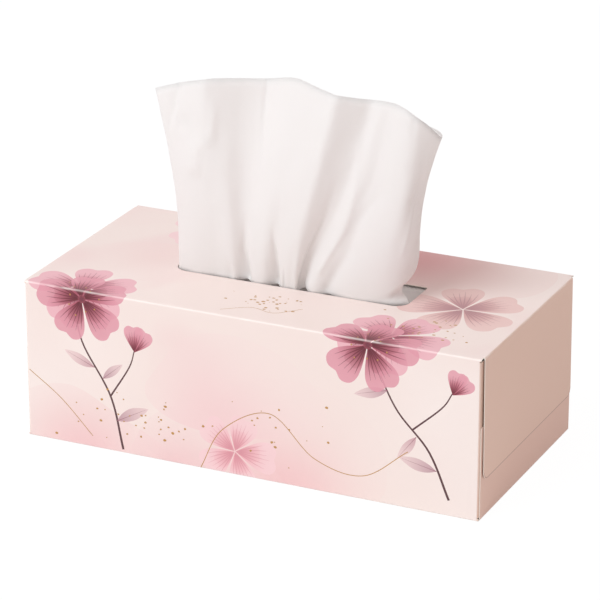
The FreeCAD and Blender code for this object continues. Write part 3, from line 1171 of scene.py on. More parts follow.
@dataclass
class FoldedCarton:
    """The carton: one printed, folded and glued sheet of board.

    Attributes:
        blank: the flat blank.
        grid: spacing of the mesh away from folds and print.
        clearance: how far the grid keeps from them.
        wear_highlight_width: how far a crease is rubbed and painted lighter as a highlight, to each side.
        wear_highlight: how much it is rubbed and painted lighter, and how much that varies along it.
        wear_highlight_patch: size of a patch of it.
    """

    blank: CartonBlank
    grid: float = 5.0 * MM
    clearance: float = 0.6 * MM
    wear_highlight_width: float = 0.8 * MM
    wear_highlight: tuple[float, float] = (0.3, 0.22)
    wear_highlight_patch: float = 4.0 * MM

    def arrangement(self, marks: list[Mark]) -> tuple[np.ndarray, np.ndarray, list[np.ndarray]]:
        """Cuts the blank along its outline, folds, slot and print.

        Args:
            marks: the printed shapes.

        Returns:
            Points (n, 2), triangles (m, 3), and for each mark the numbers of its triangles.
        """
        loops = [self.blank.outline(), self.blank.slot_outline()] + [mark.outline for mark in marks]
        points: list[tuple[float, float]] = []
        faces: list[list[int]] = []
        for loop in loops:
            faces.append(list(range(len(points), len(points) + len(loop))))
            points += [tuple(p) for p in loop]
        edges = []
        for a, b in self.blank.fold_lines():
            count = max(2, round(math.dist(a, b) / self.grid))
            row = [tuple(p) for p in np.linspace(a, b, count + 1)]
            edges += [(len(points) + i, len(points) + i + 1) for i in range(count)]
            points += row
        points += self.grid_points(np.array(points))
        cut = delaunay_2d_cdt([Vector(p) for p in points], edges, faces, 0, 1e-7, False)
        flat = np.array([tuple(v) for v in cut[0]])
        triangles = np.array(cut[2])
        middles = flat[triangles].mean(axis=1)
        board = inside_loop(loops[0], middles) & ~inside_loop(loops[1], middles)
        used, kept = np.unique(triangles[board], return_inverse=True)
        owners = [np.flatnonzero(inside_loop(mark.outline, middles[board])) for mark in marks]
        return flat[used], kept.reshape(-1, 3), owners

    def grid_points(self, taken: np.ndarray) -> list[tuple[float, float]]:
        """Fills the blank with a plain grid of points that keep clear of what is already there.

        Args:
            taken: the points that are there.

        Returns:
            The points of the grid.
        """
        low, high = taken.min(0), taken.max(0)
        cell = self.clearance * 2
        busy = {(int(a // cell), int(b // cell)) for a, b in taken}
        free = []
        for a in np.arange(low[0], high[0], self.grid):
            for b in np.arange(low[1], high[1], self.grid):
                i, j = int(a // cell), int(b // cell)
                if not any((i + di, j + dj) in busy for di in (-1, 0, 1) for dj in (-1, 0, 1)):
                    free.append((a, b))
        return free

    @staticmethod
    def inked(
        corners: np.ndarray, owners: list[np.ndarray], marks: list[Mark]
    ) -> tuple[np.ndarray, np.ndarray]:
        """Prints the marks over each other at the triangles' corners.

        Args:
            corners: blank coordinates of the corners (m, 3, 2).
            owners: for each mark the numbers of its triangles.
            marks: the printed shapes.

        Returns:
            Linear colours (m, 3, 4), with the cover in the last place, and whether gold is on top.
        """
        ink = np.zeros((len(corners), 3, 4))
        gold = np.zeros(len(corners), bool)
        for mark, rows in zip(marks, owners):
            fresh = mark.colours(corners[rows].reshape(-1, 2)).reshape(-1, 3, 4)
            cover, under = fresh[..., 3:], ink[rows][..., 3:]
            total = cover + under * (1.0 - cover)
            mixed = fresh[..., :3] * cover + ink[rows][..., :3] * under * (1.0 - cover)
            ink[rows] = np.concatenate([mixed / np.maximum(total, 1e-6), total], axis=-1)
            gold[rows] = mark.gold
        return ink, gold

    def rubbed_highlit(self, flat: np.ndarray) -> np.ndarray:
        """Tells how much the print is lightened along its creases and corners, by rubbing and by a painted
        highlight.

        Args:
            flat: points of the blank (n, 2).

        Returns:
            Shares from 0 to 1.
        """
        marks = self.blank.path.breaks()
        distance = np.full(len(flat), 1.0)
        for number in range(1, len(marks) - 1, 2):
            middle = (marks[number] + marks[number + 1]) / 2
            distance = np.minimum(distance, np.abs(flat[:, 1] - middle))
        half_bend = QUARTER * self.blank.bend / 2
        for flap in self.blank.flaps:
            inside = (flat[:, 1] >= flap.low) & (flat[:, 1] <= flap.high)
            gap = np.abs(np.abs(flat[:, 0]) - flap.root - half_bend)
            distance = np.where(inside, np.minimum(distance, gap), distance)
        patchy = LatticeNoise(21).at(*(flat / self.wear_highlight_patch).T)
        strength = self.wear_highlight[0] + self.wear_highlight[1] * patchy
        fading = 1.0 - smoothstep(0.3 * self.wear_highlight_width, self.wear_highlight_width, distance)
        return np.clip(strength * fading, 0.0, 1.0)

    def build(self) -> bpy.types.Object:
        """Makes the carton.

        Returns:
            The finished object.
        """
        marks = BlossomPrint(self.blank).draw()
        flat, triangles, owners = self.arrangement(marks)
        place, outward = self.blank.folded(flat)
        corners = flat[triangles]
        turned_over = np.cross(corners[:, 1] - corners[:, 0], corners[:, 2] - corners[:, 0]) < 0
        triangles[turned_over] = triangles[turned_over][:, ::-1]
        if not self.faces_outward(place, outward, triangles):
            triangles = triangles[:, ::-1].copy()
        ink, gold = self.inked(flat[triangles], owners, marks)
        count = len(flat)
        skin = np.vstack([place, place - outward * self.blank.board])
        back = triangles[:, ::-1] + count
        rim = [(b, a, a + count, b + count) for a, b in self.boundary(triangles)]
        mesh = bpy.data.meshes.new("carton")
        mesh.from_pydata(skin.tolist(), [], triangles.tolist() + back.tolist() + rim)
        printed = np.where(gold, Face.GOLD.value, Face.PRINT.value)
        plain = [Face.INSIDE.value] * len(back) + [Face.EDGE.value] * len(rim)
        mesh.polygons.foreach_set("material_index", np.append(printed, plain).astype(np.int32))
        self.write_print(mesh, ink)
        self.write_layout(mesh, flat)
        self.write_normals(mesh, skin, outward, 2 * len(triangles), rim)
        for finish in (
            PrintedBoard(),
            PlainBoard("grey_back_paperboard", "CFC8BE", "DAD4CB"),
            PlainBoard("cut_paperboard_edge", "EFE4DA", "F8F0E8"),
            GoldInk(),
        ):
            mesh.materials.append(finish.build())
        mesh.update()
        return new_object("printed_carton", mesh)

    @staticmethod
    def faces_outward(place: np.ndarray, outward: np.ndarray, triangles: np.ndarray) -> bool:
        """Tells whether most triangles, folded up, point the way of the printed face.

        Args:
            place: the folded places.
            outward: normals of the printed face.
            triangles: the triangles.

        Returns:
            Whether they do.
        """
        a, b, c = (place[triangles[:, i]] for i in range(3))
        normal = np.cross(b - a, c - a)
        return float((normal * outward[triangles[:, 0]]).sum()) > 0.0

    @staticmethod
    def boundary(triangles: np.ndarray) -> list[tuple[int, int]]:
        """Finds the directed edges that only one triangle has.

        Args:
            triangles: the triangles.

        Returns:
            The two ends of each edge.
        """
        edges = np.vstack([triangles[:, (0, 1)], triangles[:, (1, 2)], triangles[:, (2, 0)]])
        known = {(int(a), int(b)) for a, b in edges}
        return [(a, b) for a, b in sorted(known) if (b, a) not in known]

    @staticmethod
    def write_print(mesh: bpy.types.Mesh, ink: np.ndarray) -> None:
        """Stores the print's colours and cover on the corners of the printed faces.

        Args:
            mesh: the carton's mesh, which starts with its printed faces.
            ink: colours and cover at their corners.
        """
        colours = np.zeros((len(mesh.loops), 4))
        colours[: 3 * len(ink)] = ink.reshape(-1, 4)
        cover = colours[:, 3].copy()
        colours[:, 3] = 1.0
        layer = mesh.attributes.new("ink", "FLOAT_COLOR", "CORNER")
        layer.data.foreach_set("color", colours.astype(np.float32).ravel())
        layer = mesh.attributes.new("ink_cover", "FLOAT", "CORNER")
        layer.data.foreach_set("value", cover.astype(np.float32))

    def write_layout(self, mesh: bpy.types.Mesh, flat: np.ndarray) -> None:
        """Stores the blank's layout as a UV map, and how much its creases are lightened by rubbing and by a
        painted highlight.

        Args:
            mesh: the carton's mesh, with the points of its printed face first.
            flat: blank coordinates of those points.
        """
        worn_highlight = np.append(self.rubbed_highlit(flat), np.zeros(len(flat)))
        layer = mesh.attributes.new("crease_wear_highlight", "FLOAT", "POINT")
        layer.data.foreach_set("value", worn_highlight.astype(np.float32))
        write_uv(mesh, "blank", np.vstack([flat, flat + (1.0, 0.0)]))

    @staticmethod
    def write_normals(
        mesh: bpy.types.Mesh,
        skin: np.ndarray,
        outward: np.ndarray,
        sides: int,
        rim: list[tuple[int, int, int, int]],
    ) -> None:
        """Gives the two sides their true normals, and the cut edge plain ones.

        Args:
            mesh: the carton's mesh.
            skin: places of its points, those of the printed face first.
            outward: normals of the printed face.
            sides: how many triangles the two sides have, before the cut edge.
            rim: the faces of the cut edge.
        """
        normals = np.vstack([outward, -outward])[corner_points(mesh)]
        a, b, _, d = (skin[[quad[i] for quad in rim]] for i in range(4))
        edge = np.cross(b - a, d - a)
        edge /= np.linalg.norm(edge, axis=1, keepdims=True) + 1e-12
        normals[3 * sides :] = np.repeat(edge, 4, axis=0)
        mesh.polygons.foreach_set("use_smooth", np.ones(len(mesh.polygons), bool))
        mesh.normals_split_custom_set(normals.tolist())


# The tissues


# The standing tissue's folds from its left edge to its curled right one. First comes the height of
# the fold's tip, in percent of the tissue's rise. Then comes its place at each of LEVELS: along the
# slot, in percent of the sheet's half width there, and backwards, in percent of the slot's half depth.
FOLDS: dict[str, tuple] = {
    "left edge": (87, (-98, -85), (-95, -75), (-91, -70), (-100, -40)),
    "left crease": (93, (-89, -103), (-87, -95), (-86, -88), (-79, -60)),
    "left ridge": (97, (-73, -103), (-70, -104), (-66, -107), (-62, -103)),
    "ridge's far side": (98, (-60, -95), (-58, -94), (-59, -103), (-56, -90)),
    "white pleat": (98, (-45, -110), (-45, -113), (-49, -87), (-46, -63)),
    "wide trough": (98, (-42, -70), (-41, -74), (-41, -48), (-35, -32)),
    "trough's far side": (98, (-32, -104), (-30, -92), (-28, -50), (-21, -8)),
    "bright side": (101, (-19, -104), (-18, -110), (-16, -80), (-8, -32)),
    "small tuck": (103, (-14, -66), (-13, -90), (-4, -95), (4, -56)),
    "bright panel": (101, (-5, -110), (-1, -111), (8, -107), (17, -80)),
    "sharp ridge, near": (100, (3, -96), (7, -112), (17, -117), (30, -103)),
    "sharp ridge": (100, (8, -110), (11, -116), (23, -119), (36, -117)),
    "sharp ridge, far": (99, (9, -70), (14, -86), (29, -102), (41, -101)),
    "deep valley": (98, (11, -48), (16, -52), (38, -76), (48, -76)),
    "valley's far side": (97, (17, -103), (23, -70), (46, -52), (56, -56)),
    "narrow ridge": (98, (26, -103), (33, -108), (55, -84), (63, -66)),
    "soft valley": (98, (34, -88), (41, -80), (62, -62), (70, -70)),
    "lobe, near": (98, (48, -103), (56, -104), (73, -80), (77, -86)),
    "lobe": (96, (66, -103), (79, -116), (88, -111), (85, -98)),
    "lobe, far": (93, (81, -96), (91, -105), (93, -97), (91, -93)),
    "right turn, near": (89, (88, -92), (100, -70), (92, -67), (97, -70)),
    "right turn": (81, (92, -86), (105, -14), (89, -18), (102, -28)),
    "right turn, far": (82, (95, -76), (101, 48), (87, 46), (97, 36)),
    "curl": (82, (98, -64), (87, 80), (77, 79), (86, 75)),
    "curled edge": (83, (100, -50), (70, 67), (60, 71), (69, 75)),
}
# Heights at which the folds are placed, in percent of each fold's own height.
LEVELS = (0, 20, 55, 100)
# Where control rows lie on the tail's way from the slot to the rear fold.
TAIL_SHARES = (0.62, 0.32, 0.08)
# How far up the first span the row lies that lets the tissue leave the slot smoothly.
LIP_SHARE = 0.15


@dataclass(frozen=True)
class Crease:
    """A fine crease in the standing tissue, where its paper was bent before.

    Attributes:
        points: places as shares across the sheet and up from the slot.
        depths: its height in millimetres at its first and its last point, negative into the sheet.
        width: half its width, in shares of the sheet's width.
    """

    points: tuple[tuple[float, float], ...]
    depths: tuple[float, float]
    width: float

    def height(self, across: np.ndarray, up: np.ndarray) -> np.ndarray:
        """Works out how far this crease lifts the sheet off its smooth surface.

        Args:
            across: share across the sheet for each point.
            up: share up from the slot for each point.

        Returns:
            Heights in metres.
        """
        total = np.zeros_like(across)
        strength = np.zeros_like(across)
        count = len(self.points) - 1
        for number, ((x0, y0), (x1, y1)) in enumerate(zip(self.points, self.points[1:])):
            run, rise = x1 - x0, y1 - y0
            share = ((across - x0) * run + (up - y0) * rise) / (run**2 + rise**2)
            near = np.clip(share, 0.0, 1.0)
            gap = np.hypot(across - x0 - near * run, (up - y0 - near * rise) * 0.5)
            here = np.exp(-((gap / self.width) ** 2))
            along = (number + near) / count
            depth = (self.depths[0] + (self.depths[1] - self.depths[0]) * along) * MM
            total = np.where(here > strength, depth * here, total)
            strength = np.maximum(strength, here)
        return total


# The fine creases that show from the front: first those near the free edge and the left edge,
# then those that rise from the slot, then those near the right turn.
CREASES = (
    Crease(((0.018, 1.0), (0.012, 0.86), (0.005, 0.74)), (-1.4, -0.6), 0.0028),
    Crease(((0.100, 0.88), (0.092, 0.73), (0.044, 0.68), (0.038, 0.55)), (0.6, 1.2), 0.014),
    Crease(((0.018, 0.77), (0.030, 0.80), (0.042, 0.82)), (-1.0, -0.8), 0.004),
    Crease(((0.227, 1.0), (0.230, 0.82), (0.240, 0.62)), (-0.9, -0.2), 0.006),
    Crease(((0.205, 0.00), (0.187, 0.15), (0.200, 0.31)), (-3.0, -0.3), 0.013),
    Crease(((0.333, 0.00), (0.318, 0.17), (0.305, 0.30)), (-2.8, -0.2), 0.011),
    Crease(((0.375, 0.00), (0.370, 0.11)), (-1.2, -0.2), 0.006),
    Crease(((0.120, 0.00), (0.112, 0.08)), (-1.4, -0.2), 0.010),
    Crease(((0.487, 0.00), (0.520, 0.18), (0.540, 0.38), (0.535, 0.56)), (-2.4, -0.2), 0.014),
    Crease(((0.630, 0.12), (0.655, 0.34), (0.640, 0.50), (0.585, 0.78)), (0.7, 0.3), 0.012),
    Crease(((0.675, 0.00), (0.700, 0.22), (0.690, 0.42), (0.727, 0.56)), (-1.2, -0.3), 0.016),
    Crease(((0.790, 0.97), (0.805, 0.88)), (-0.6, -0.2), 0.006),
    Crease(((0.88, 0.60), (0.86, 0.54)), (-1.6, -1.6), 0.030),
    Crease(((0.88, 0.36), (0.87, 0.26)), (1.2, 1.2), 0.040),
    Crease(((0.875, 0.56), (0.845, 0.44), (0.835, 0.28)), (0.6, 0.3), 0.008),
)


def cubic_weights(count: int, places: np.ndarray) -> np.ndarray:
    """Weights of the control points of a clamped uniform cubic curve.

    Args:
        count: number of control points.
        places: parameters from 0 to count - 3.

    Returns:
        Weights (len(places), count).
    """
    knots = np.concatenate([[0.0] * 3, np.arange(count - 2), [count - 3.0] * 3])
    x = np.clip(places, 0.0, count - 3.0 - 1e-9)[:, None]
    weights = ((x >= knots[None, :-1]) & (x < knots[None, 1:])).astype(float)
    for degree in range(1, 4):
        left, right = knots[:-degree], knots[degree:]
        span = right - left
        safe = np.where(span > 0, span, 1.0)
        rise = np.where(span > 0, (x - left) / safe, 0.0)
        fall = np.where(span > 0, (right - x) / safe, 0.0)
        near = weights[:, :-1] * rise[:, : weights.shape[1] - 1]
        far = weights[:, 1:] * fall[:, 1 : weights.shape[1]]
        weights = near + far
    return weights


@dataclass
class StandingTissue:
    """The tissue that stands out of the slot, gathered, with its tail folded under the top panel.

    Attributes:
        top: height of the top panel's outer face.
        slot: length and width of the slot.
        board: thickness of the top panel.
        gauge: the tissue's thickness.
        rise: how far it stands over the top panel.
        spread: how far it reaches along its free edge.
        flat_width: its flat width along the slot.
        flat_length: its flat length from edge to edge.
        fold_depth: depth of the pile, at whose rear it is folded.
        tail_return: how far its tail comes back under the fold.
        tail_headroom: gap under the top panel.
        tail_fold: height of the fold.
        side_clearance: least gap to the slot's long sides.
        end_clearance: least gap to the slot's ends.
        tuck: how far the corner by the slot's right end is pressed in.
        crumple: depth of the paper's wide, narrow and sharp crumple, in millimetres.
        columns: points across it.
        fan_rows: rows of points over the slot.
        tail_rows: rows of points under it.
        seed: seed of its crumple.
    """

    top: float
    slot: tuple[float, float]
    board: float = 0.5 * MM
    gauge: float = 0.24 * MM
    rise: float = 97.0 * MM
    spread: float = 142.0 * MM
    flat_width: float = 200.0 * MM
    flat_length: float = 200.0 * MM
    fold_depth: float = 100.0 * MM
    tail_return: float = 50.0 * MM
    tail_headroom: float = 1.0 * MM
    tail_fold: float = 1.6 * MM
    side_clearance: float = 0.7 * MM
    end_clearance: float = 1.1 * MM
    tuck: float = 1.8 * MM
    crumple: tuple[float, float, float] = (0.30, 0.13, 0.10)
    columns: int = 250
    fan_rows: int = 150
    tail_rows: int = 40
    seed: int = 11

    def net(self) -> np.ndarray:
        """Places the control points of the sheet.

        Returns:
            Rows from the tail to the free edge, (rows, columns, 3).
        """
        half_slot = self.slot[0] / 2 - self.end_clearance
        half_spread = self.spread / 2
        half_depth = self.slot[1] / 2 - self.side_clearance
        fan = []
        for number, percent in enumerate(LEVELS):
            level = percent / 100
            half = half_slot + (half_spread - half_slot) * level
            row = []
            for tip, *places in FOLDS.values():
                across, depth = (share / 100 for share in places[number])
                row.append((across * half, depth * half_depth, self.top + tip / 100 * self.rise * level))
            fan.append(np.array(row))
        fan[0][:, 2] += 2 * self.tail_headroom
        upright = fan[0] + (fan[1] - fan[0]) * LIP_SHARE
        return np.array(self.tail(fan[0], fan[-1]) + [fan[0], upright] + fan[1:])

    def tail(self, lip: np.ndarray, tips: np.ndarray) -> list[np.ndarray]:
        """Places the control rows of the part inside the carton.

        Args:
            lip: the row at the slot.
            tips: the row at the free edge.

        Returns:
            Rows from the tail's end to just under the slot.
        """
        upper = self.top - self.board - self.tail_headroom - self.gauge / 2
        lower = upper - self.tail_fold
        fold = self.fold_depth / 2
        end = fold - self.tail_return
        lengths = np.concatenate([[0.0], np.cumsum(np.linalg.norm(np.diff(tips, axis=0), axis=1))])
        spread = self.flat_width * (lengths / lengths[-1] - 0.5)
        course = [(end, lower), ((end + fold) / 2, lower), (fold - self.tail_fold, lower), (fold, lower)]
        course += [(fold, upper), (fold - self.tail_fold, upper)]
        level = np.column_stack([spread, np.zeros((len(spread), 2))])
        rows = [level + (0.0, y, z) for y, z in course]
        roots = lip * (1.0, 1.0, 0.0) + (0.0, 0.0, upper)
        far = level + (0.0, fold, upper)
        rows += [roots + (far - roots) * share for share in TAIL_SHARES]
        return rows + [roots]

    def even_stations(self, net: np.ndarray) -> np.ndarray:
        """Finds places for the columns that are even along the sheet's free edge.

        Args:
            net: the control points.

        Returns:
            Shares across the net, one for each column.
        """
        fine = np.linspace(0.0, 1.0, 8 * self.columns)
        edge = cubic_weights(net.shape[1], fine * (net.shape[1] - 3.0)) @ net[-1]
        run = np.concatenate([[0.0], np.cumsum(np.linalg.norm(np.diff(edge, axis=0), axis=1))])
        return np.interp(np.linspace(0.0, run[-1], self.columns), run, fine)

    def relief(self, across: np.ndarray, up: np.ndarray) -> np.ndarray:
        """Adds up the fine creases, the tucked corner and the paper's soft crumple.

        Args:
            across: share across the sheet for each point.
            up: share up from the slot for each point, negative in the tail.

        Returns:
            Heights in metres.
        """
        height = sum(crease.height(across, up) for crease in CREASES)
        # The tucked corner lies to the right of a line that leans outwards as it rises.
        corner = (across - 0.79) * 0.78 - (up - 0.01) * 0.62
        tucked = smoothstep(0.0, 0.07, corner) * smoothstep(0.2, 0.08, up) * smoothstep(-0.02, 0.05, up)
        broad, fine = LatticeNoise(self.seed), LatticeNoise(self.seed + 1)
        bent = across + 0.02 * broad.at(up * 3.0 + 5.0, across * 4.0)
        wide, narrow, sharp = self.crumple
        crumple = wide * broad.at(bent * 15.0, up * 4.0 + 9.0)
        crumple += narrow * fine.at(bent * 34.0 + 3.0, up * 9.0)
        crumple -= sharp * np.abs(fine.at(bent * 22.0 + 7.0, up * 12.0 + 2.0))
        return (height - self.tuck * tucked + crumple * MM) * smoothstep(-0.045, 0.03, up)

    def build(self, paper: bpy.types.Material) -> bpy.types.Object:
        """Makes the tissue.

        Args:
            paper: the tissue's material.

        Returns:
            The finished object.
        """
        net = self.net()
        last_row, last_column = net.shape[0] - 3.0, net.shape[1] - 3.0
        root = net.shape[0] - 4.0 - len(LEVELS)
        tail = np.linspace(0.0, root, self.tail_rows, endpoint=False)
        rows = np.append(tail, np.linspace(root, last_row, self.fan_rows))
        across = self.even_stations(net)
        along = cubic_weights(net.shape[0], rows)
        side = cubic_weights(net.shape[1], across * last_column)
        middle = np.einsum("ri,ijk,cj->rck", along, net, side)
        normal = np.cross(np.gradient(middle, axis=1), np.gradient(middle, axis=0))
        normal /= np.linalg.norm(normal, axis=-1, keepdims=True)
        up = np.clip((middle[..., 2] - self.top) / (self.rise * 0.95), -0.05, 1.05)
        up = np.where(rows[:, None] < root, -0.05, up)
        middle = middle + normal * self.relief(np.broadcast_to(across, up.shape), up)[..., None]
        mesh = self.skin(middle, normal)
        mesh.materials.append(paper)
        return new_object("standing_tissue", mesh)

    def skin(self, middle: np.ndarray, normal: np.ndarray) -> bpy.types.Mesh:
        """Closes the sheet's two sides and its cut edges into a mesh.

        Args:
            middle: points of the sheet's middle surface.
            normal: their normals.

        Returns:
            The mesh, with the sheet's flat layout as its UV map.
        """
        rows, columns = middle.shape[:2]
        front = (middle + normal * self.gauge / 2).reshape(-1, 3)
        back = (middle - normal * self.gauge / 2).reshape(-1, 3)
        spot = np.arange(rows * columns).reshape(rows, columns)
        a, b, c, d = spot[:-1, :-1], spot[:-1, 1:], spot[1:, 1:], spot[1:, :-1]
        near = np.stack([a, b, c, d], -1).reshape(-1, 4)
        lift = rows * columns
        far = near[:, ::-1] + lift
        ring = np.concatenate([spot[0, :], spot[1:, -1], spot[-1, -2::-1], spot[-2:0:-1, 0]])
        after = np.roll(ring, -1)
        rim = np.column_stack([after, ring, ring + lift, after + lift])
        mesh = bpy.data.meshes.new("standing_tissue")
        mesh.from_pydata(np.vstack([front, back]).tolist(), [], np.vstack([near, far, rim]).tolist())
        shares = np.meshgrid(np.linspace(0, 1, rows), np.linspace(0, 1, columns), indexing="ij")
        layout = np.stack(shares[::-1], -1).reshape(-1, 2) * (self.flat_width, self.flat_length)
        write_uv(mesh, "sheet", np.vstack([layout, layout]))
        smooth = np.ones(len(mesh.polygons), bool)
        smooth[len(near) + len(far) :] = False
        mesh.polygons.foreach_set("use_smooth", smooth)
        mesh.update()
        return mesh


@dataclass
class LeafStack:
    """The folded tissues that are left in the carton, one folded leaf on the other.

    Attributes:
        low: lowest corner of the stack's box.
        high: highest corner of the stack's box.
        layers: how many leaves there are.
        slack: how far a leaf may lie off the stack's middle.
        bulge: how far a leaf's long sides swell.
        steps: pieces along a leaf.
        seed: seed of the disorder.
    """

    low: Vector
    high: Vector
    layers: int = 75
    slack: float = 0.35 * MM
    bulge: float = 1.2 * MM
    steps: int = 12
    seed: int = 5

    def leaf(self) -> bpy.types.Object:
        """Makes one folded leaf: a soft slab with round folds at its front and back.

        Returns:
            The leaf, as an object of its own.
        """
        half = (self.high - self.low) / 2
        pitch = 2 * half.z / self.layers
        thick = pitch * 0.49
        reach = half.y - self.bulge - self.slack
        section = []
        for side in (1, -1):
            for angle in (-60.0, -20.0, 20.0, 60.0):
                turn = math.radians(angle)
                y = reach + thick * (math.cos(turn) - 1.0)
                section.append((side * y, side * thick * math.sin(turn)))
        verts, faces = [], []
        count = len(section)
        for step in range(self.steps + 1):
            share = 2.0 * step / self.steps - 1.0
            swell = self.bulge * (1.0 - share**2)
            x = share * (half.x - self.slack)
            verts += [(x, y + math.copysign(swell, y), z) for y, z in section]
        for step in range(self.steps):
            a, b = step * count, (step + 1) * count
            faces += [(a + i, a + (i + 1) % count, b + (i + 1) % count, b + i) for i in range(count)]
        faces += [tuple(reversed(range(count))), tuple(range(self.steps * count, (self.steps + 1) * count))]
        mesh = bpy.data.meshes.new("leaf")
        mesh.from_pydata(verts, [], faces)
        mesh.polygons.foreach_set("use_smooth", [True] * (len(faces) - 2) + [False] * 2)
        return new_object("leaf", mesh)

    def stacking(self) -> bpy.types.NodeTree:
        """Makes the node group that lays the leaves on each other with a little disorder.

        Returns:
            The node group.
        """
        tree = bpy.data.node_groups.new("leaf_stacking", "GeometryNodeTree")
        inputs = {
            "Geometry": "Geometry",
            "Leaf": "Object",
            "Layers": "Int",
            "Pitch": "Float",
            "Slack": "Float",
            "Seed": "Int",
            "Material": "Material",
        }
        for name, kind in inputs.items():
            tree.interface.new_socket(name, in_out="INPUT", socket_type=f"NodeSocket{kind}")
        tree.interface.new_socket("Geometry", in_out="OUTPUT", socket_type="NodeSocketGeometry")
        given = add_node(tree, "NodeGroupInput").outputs
        step = add_node(tree, "ShaderNodeCombineXYZ", {"Z": given["Pitch"]})
        steps = {"Count": given["Layers"], "Offset": step.outputs[0]}
        column = add_node(tree, "GeometryNodeMeshLine", steps, mode="OFFSET")
        least = add_node(tree, "ShaderNodeMath", {0: given["Slack"], 1: -1.0}, operation="MULTIPLY")
        low = add_node(tree, "ShaderNodeCombineXYZ", {"X": least.outputs[0], "Y": least.outputs[0]})
        high = add_node(tree, "ShaderNodeCombineXYZ", {"X": given["Slack"], "Y": given["Slack"]})
        limits = {0: low.outputs[0], 1: high.outputs[0], "Seed": given["Seed"]}
        shift = add_node(tree, "FunctionNodeRandomValue", limits, data_type="FLOAT_VECTOR")
        moved = {"Geometry": column.outputs["Mesh"], "Offset": shift.outputs[0]}
        untidy = add_node(tree, "GeometryNodeSetPosition", moved)
        leaf = add_node(tree, "GeometryNodeObjectInfo", {"Object": given["Leaf"]})
        pile = {"Points": untidy.outputs["Geometry"], "Instance": leaf.outputs["Geometry"]}
        laid = add_node(tree, "GeometryNodeInstanceOnPoints", pile)
        real = add_node(tree, "GeometryNodeRealizeInstances", {"Geometry": laid.outputs["Instances"]})
        paper = {"Geometry": real.outputs["Geometry"], "Material": given["Material"]}
        dressed = add_node(tree, "GeometryNodeSetMaterial", paper)
        add_node(tree, "NodeGroupOutput", {"Geometry": dressed.outputs["Geometry"]})
        return tree

    def build(self, paper: bpy.types.Material) -> bpy.types.Object:
        """Makes the stack.

        Args:
            paper: the tissues' material.

        Returns:
            The finished object.
        """
        leaf = self.leaf()
        pitch = (self.high.z - self.low.z) / self.layers
        host = new_object("stack_host", bpy.data.meshes.new("stack_host"))
        settings = {
            "Leaf": leaf,
            "Layers": self.layers,
            "Pitch": pitch,
            "Slack": self.slack,
            "Seed": self.seed,
            "Material": paper,
        }
        mesh = grown_mesh(host, self.stacking(), settings)
        mesh.transform(Matrix.Translation((0.0, 0.0, self.low.z + pitch / 2)))
        bpy.data.objects.remove(leaf)
        return new_object("tissue_stack", mesh)


def grown_mesh(host: bpy.types.Object, tree: bpy.types.NodeTree, settings: dict) -> bpy.types.Mesh:
    """Runs a node group on an object and keeps what it makes as a plain mesh.

    Args:
        host: the object that carries the modifier, which is removed afterwards.
        tree: the node group.
        settings: names of its inputs to their values.

    Returns:
        The mesh.
    """
    growth = host.modifiers.new(tree.name, "NODES")
    growth.node_group = tree
    for item in tree.interface.items_tree:
        if item.item_type == "SOCKET" and item.in_out == "INPUT" and item.name in settings:
            growth[item.identifier] = settings[item.name]
    bpy.context.view_layer.update()
    evaluated = host.evaluated_get(bpy.context.evaluated_depsgraph_get())
    mesh = bpy.data.meshes.new_from_object(evaluated)
    bpy.data.objects.remove(host)
    return mesh


# Studio


def backdrop_rays(tree: bpy.types.NodeTree) -> bpy.types.NodeSocket:
    """Marks the rays that show the backdrop as white.

    Args:
        tree: the tree of the floor or of the world.

    Returns:
        A socket that is 1 for the camera's rays, for gloss and through glass, and 0 for light that
        lands on the box or soaks through the tissue.
    """
    path = add_node(tree, "ShaderNodeLightPath")
    camera, glossy, through, soaked = (
        path.outputs[f"Is {kind} Ray"] for kind in ("Camera", "Glossy", "Transmission", "Diffuse")
    )
    clear = add_node(tree, "ShaderNodeMath", {0: through, 1: soaked}, operation="SUBTRACT", use_clamp=True)
    gloss = add_node(tree, "ShaderNodeMath", {0: glossy, 1: clear.outputs[0]}, operation="MAXIMUM")
    seen = add_node(tree, "ShaderNodeMath", {0: camera, 1: gloss.outputs[0]}, operation="MAXIMUM")
    return seen.outputs[0]


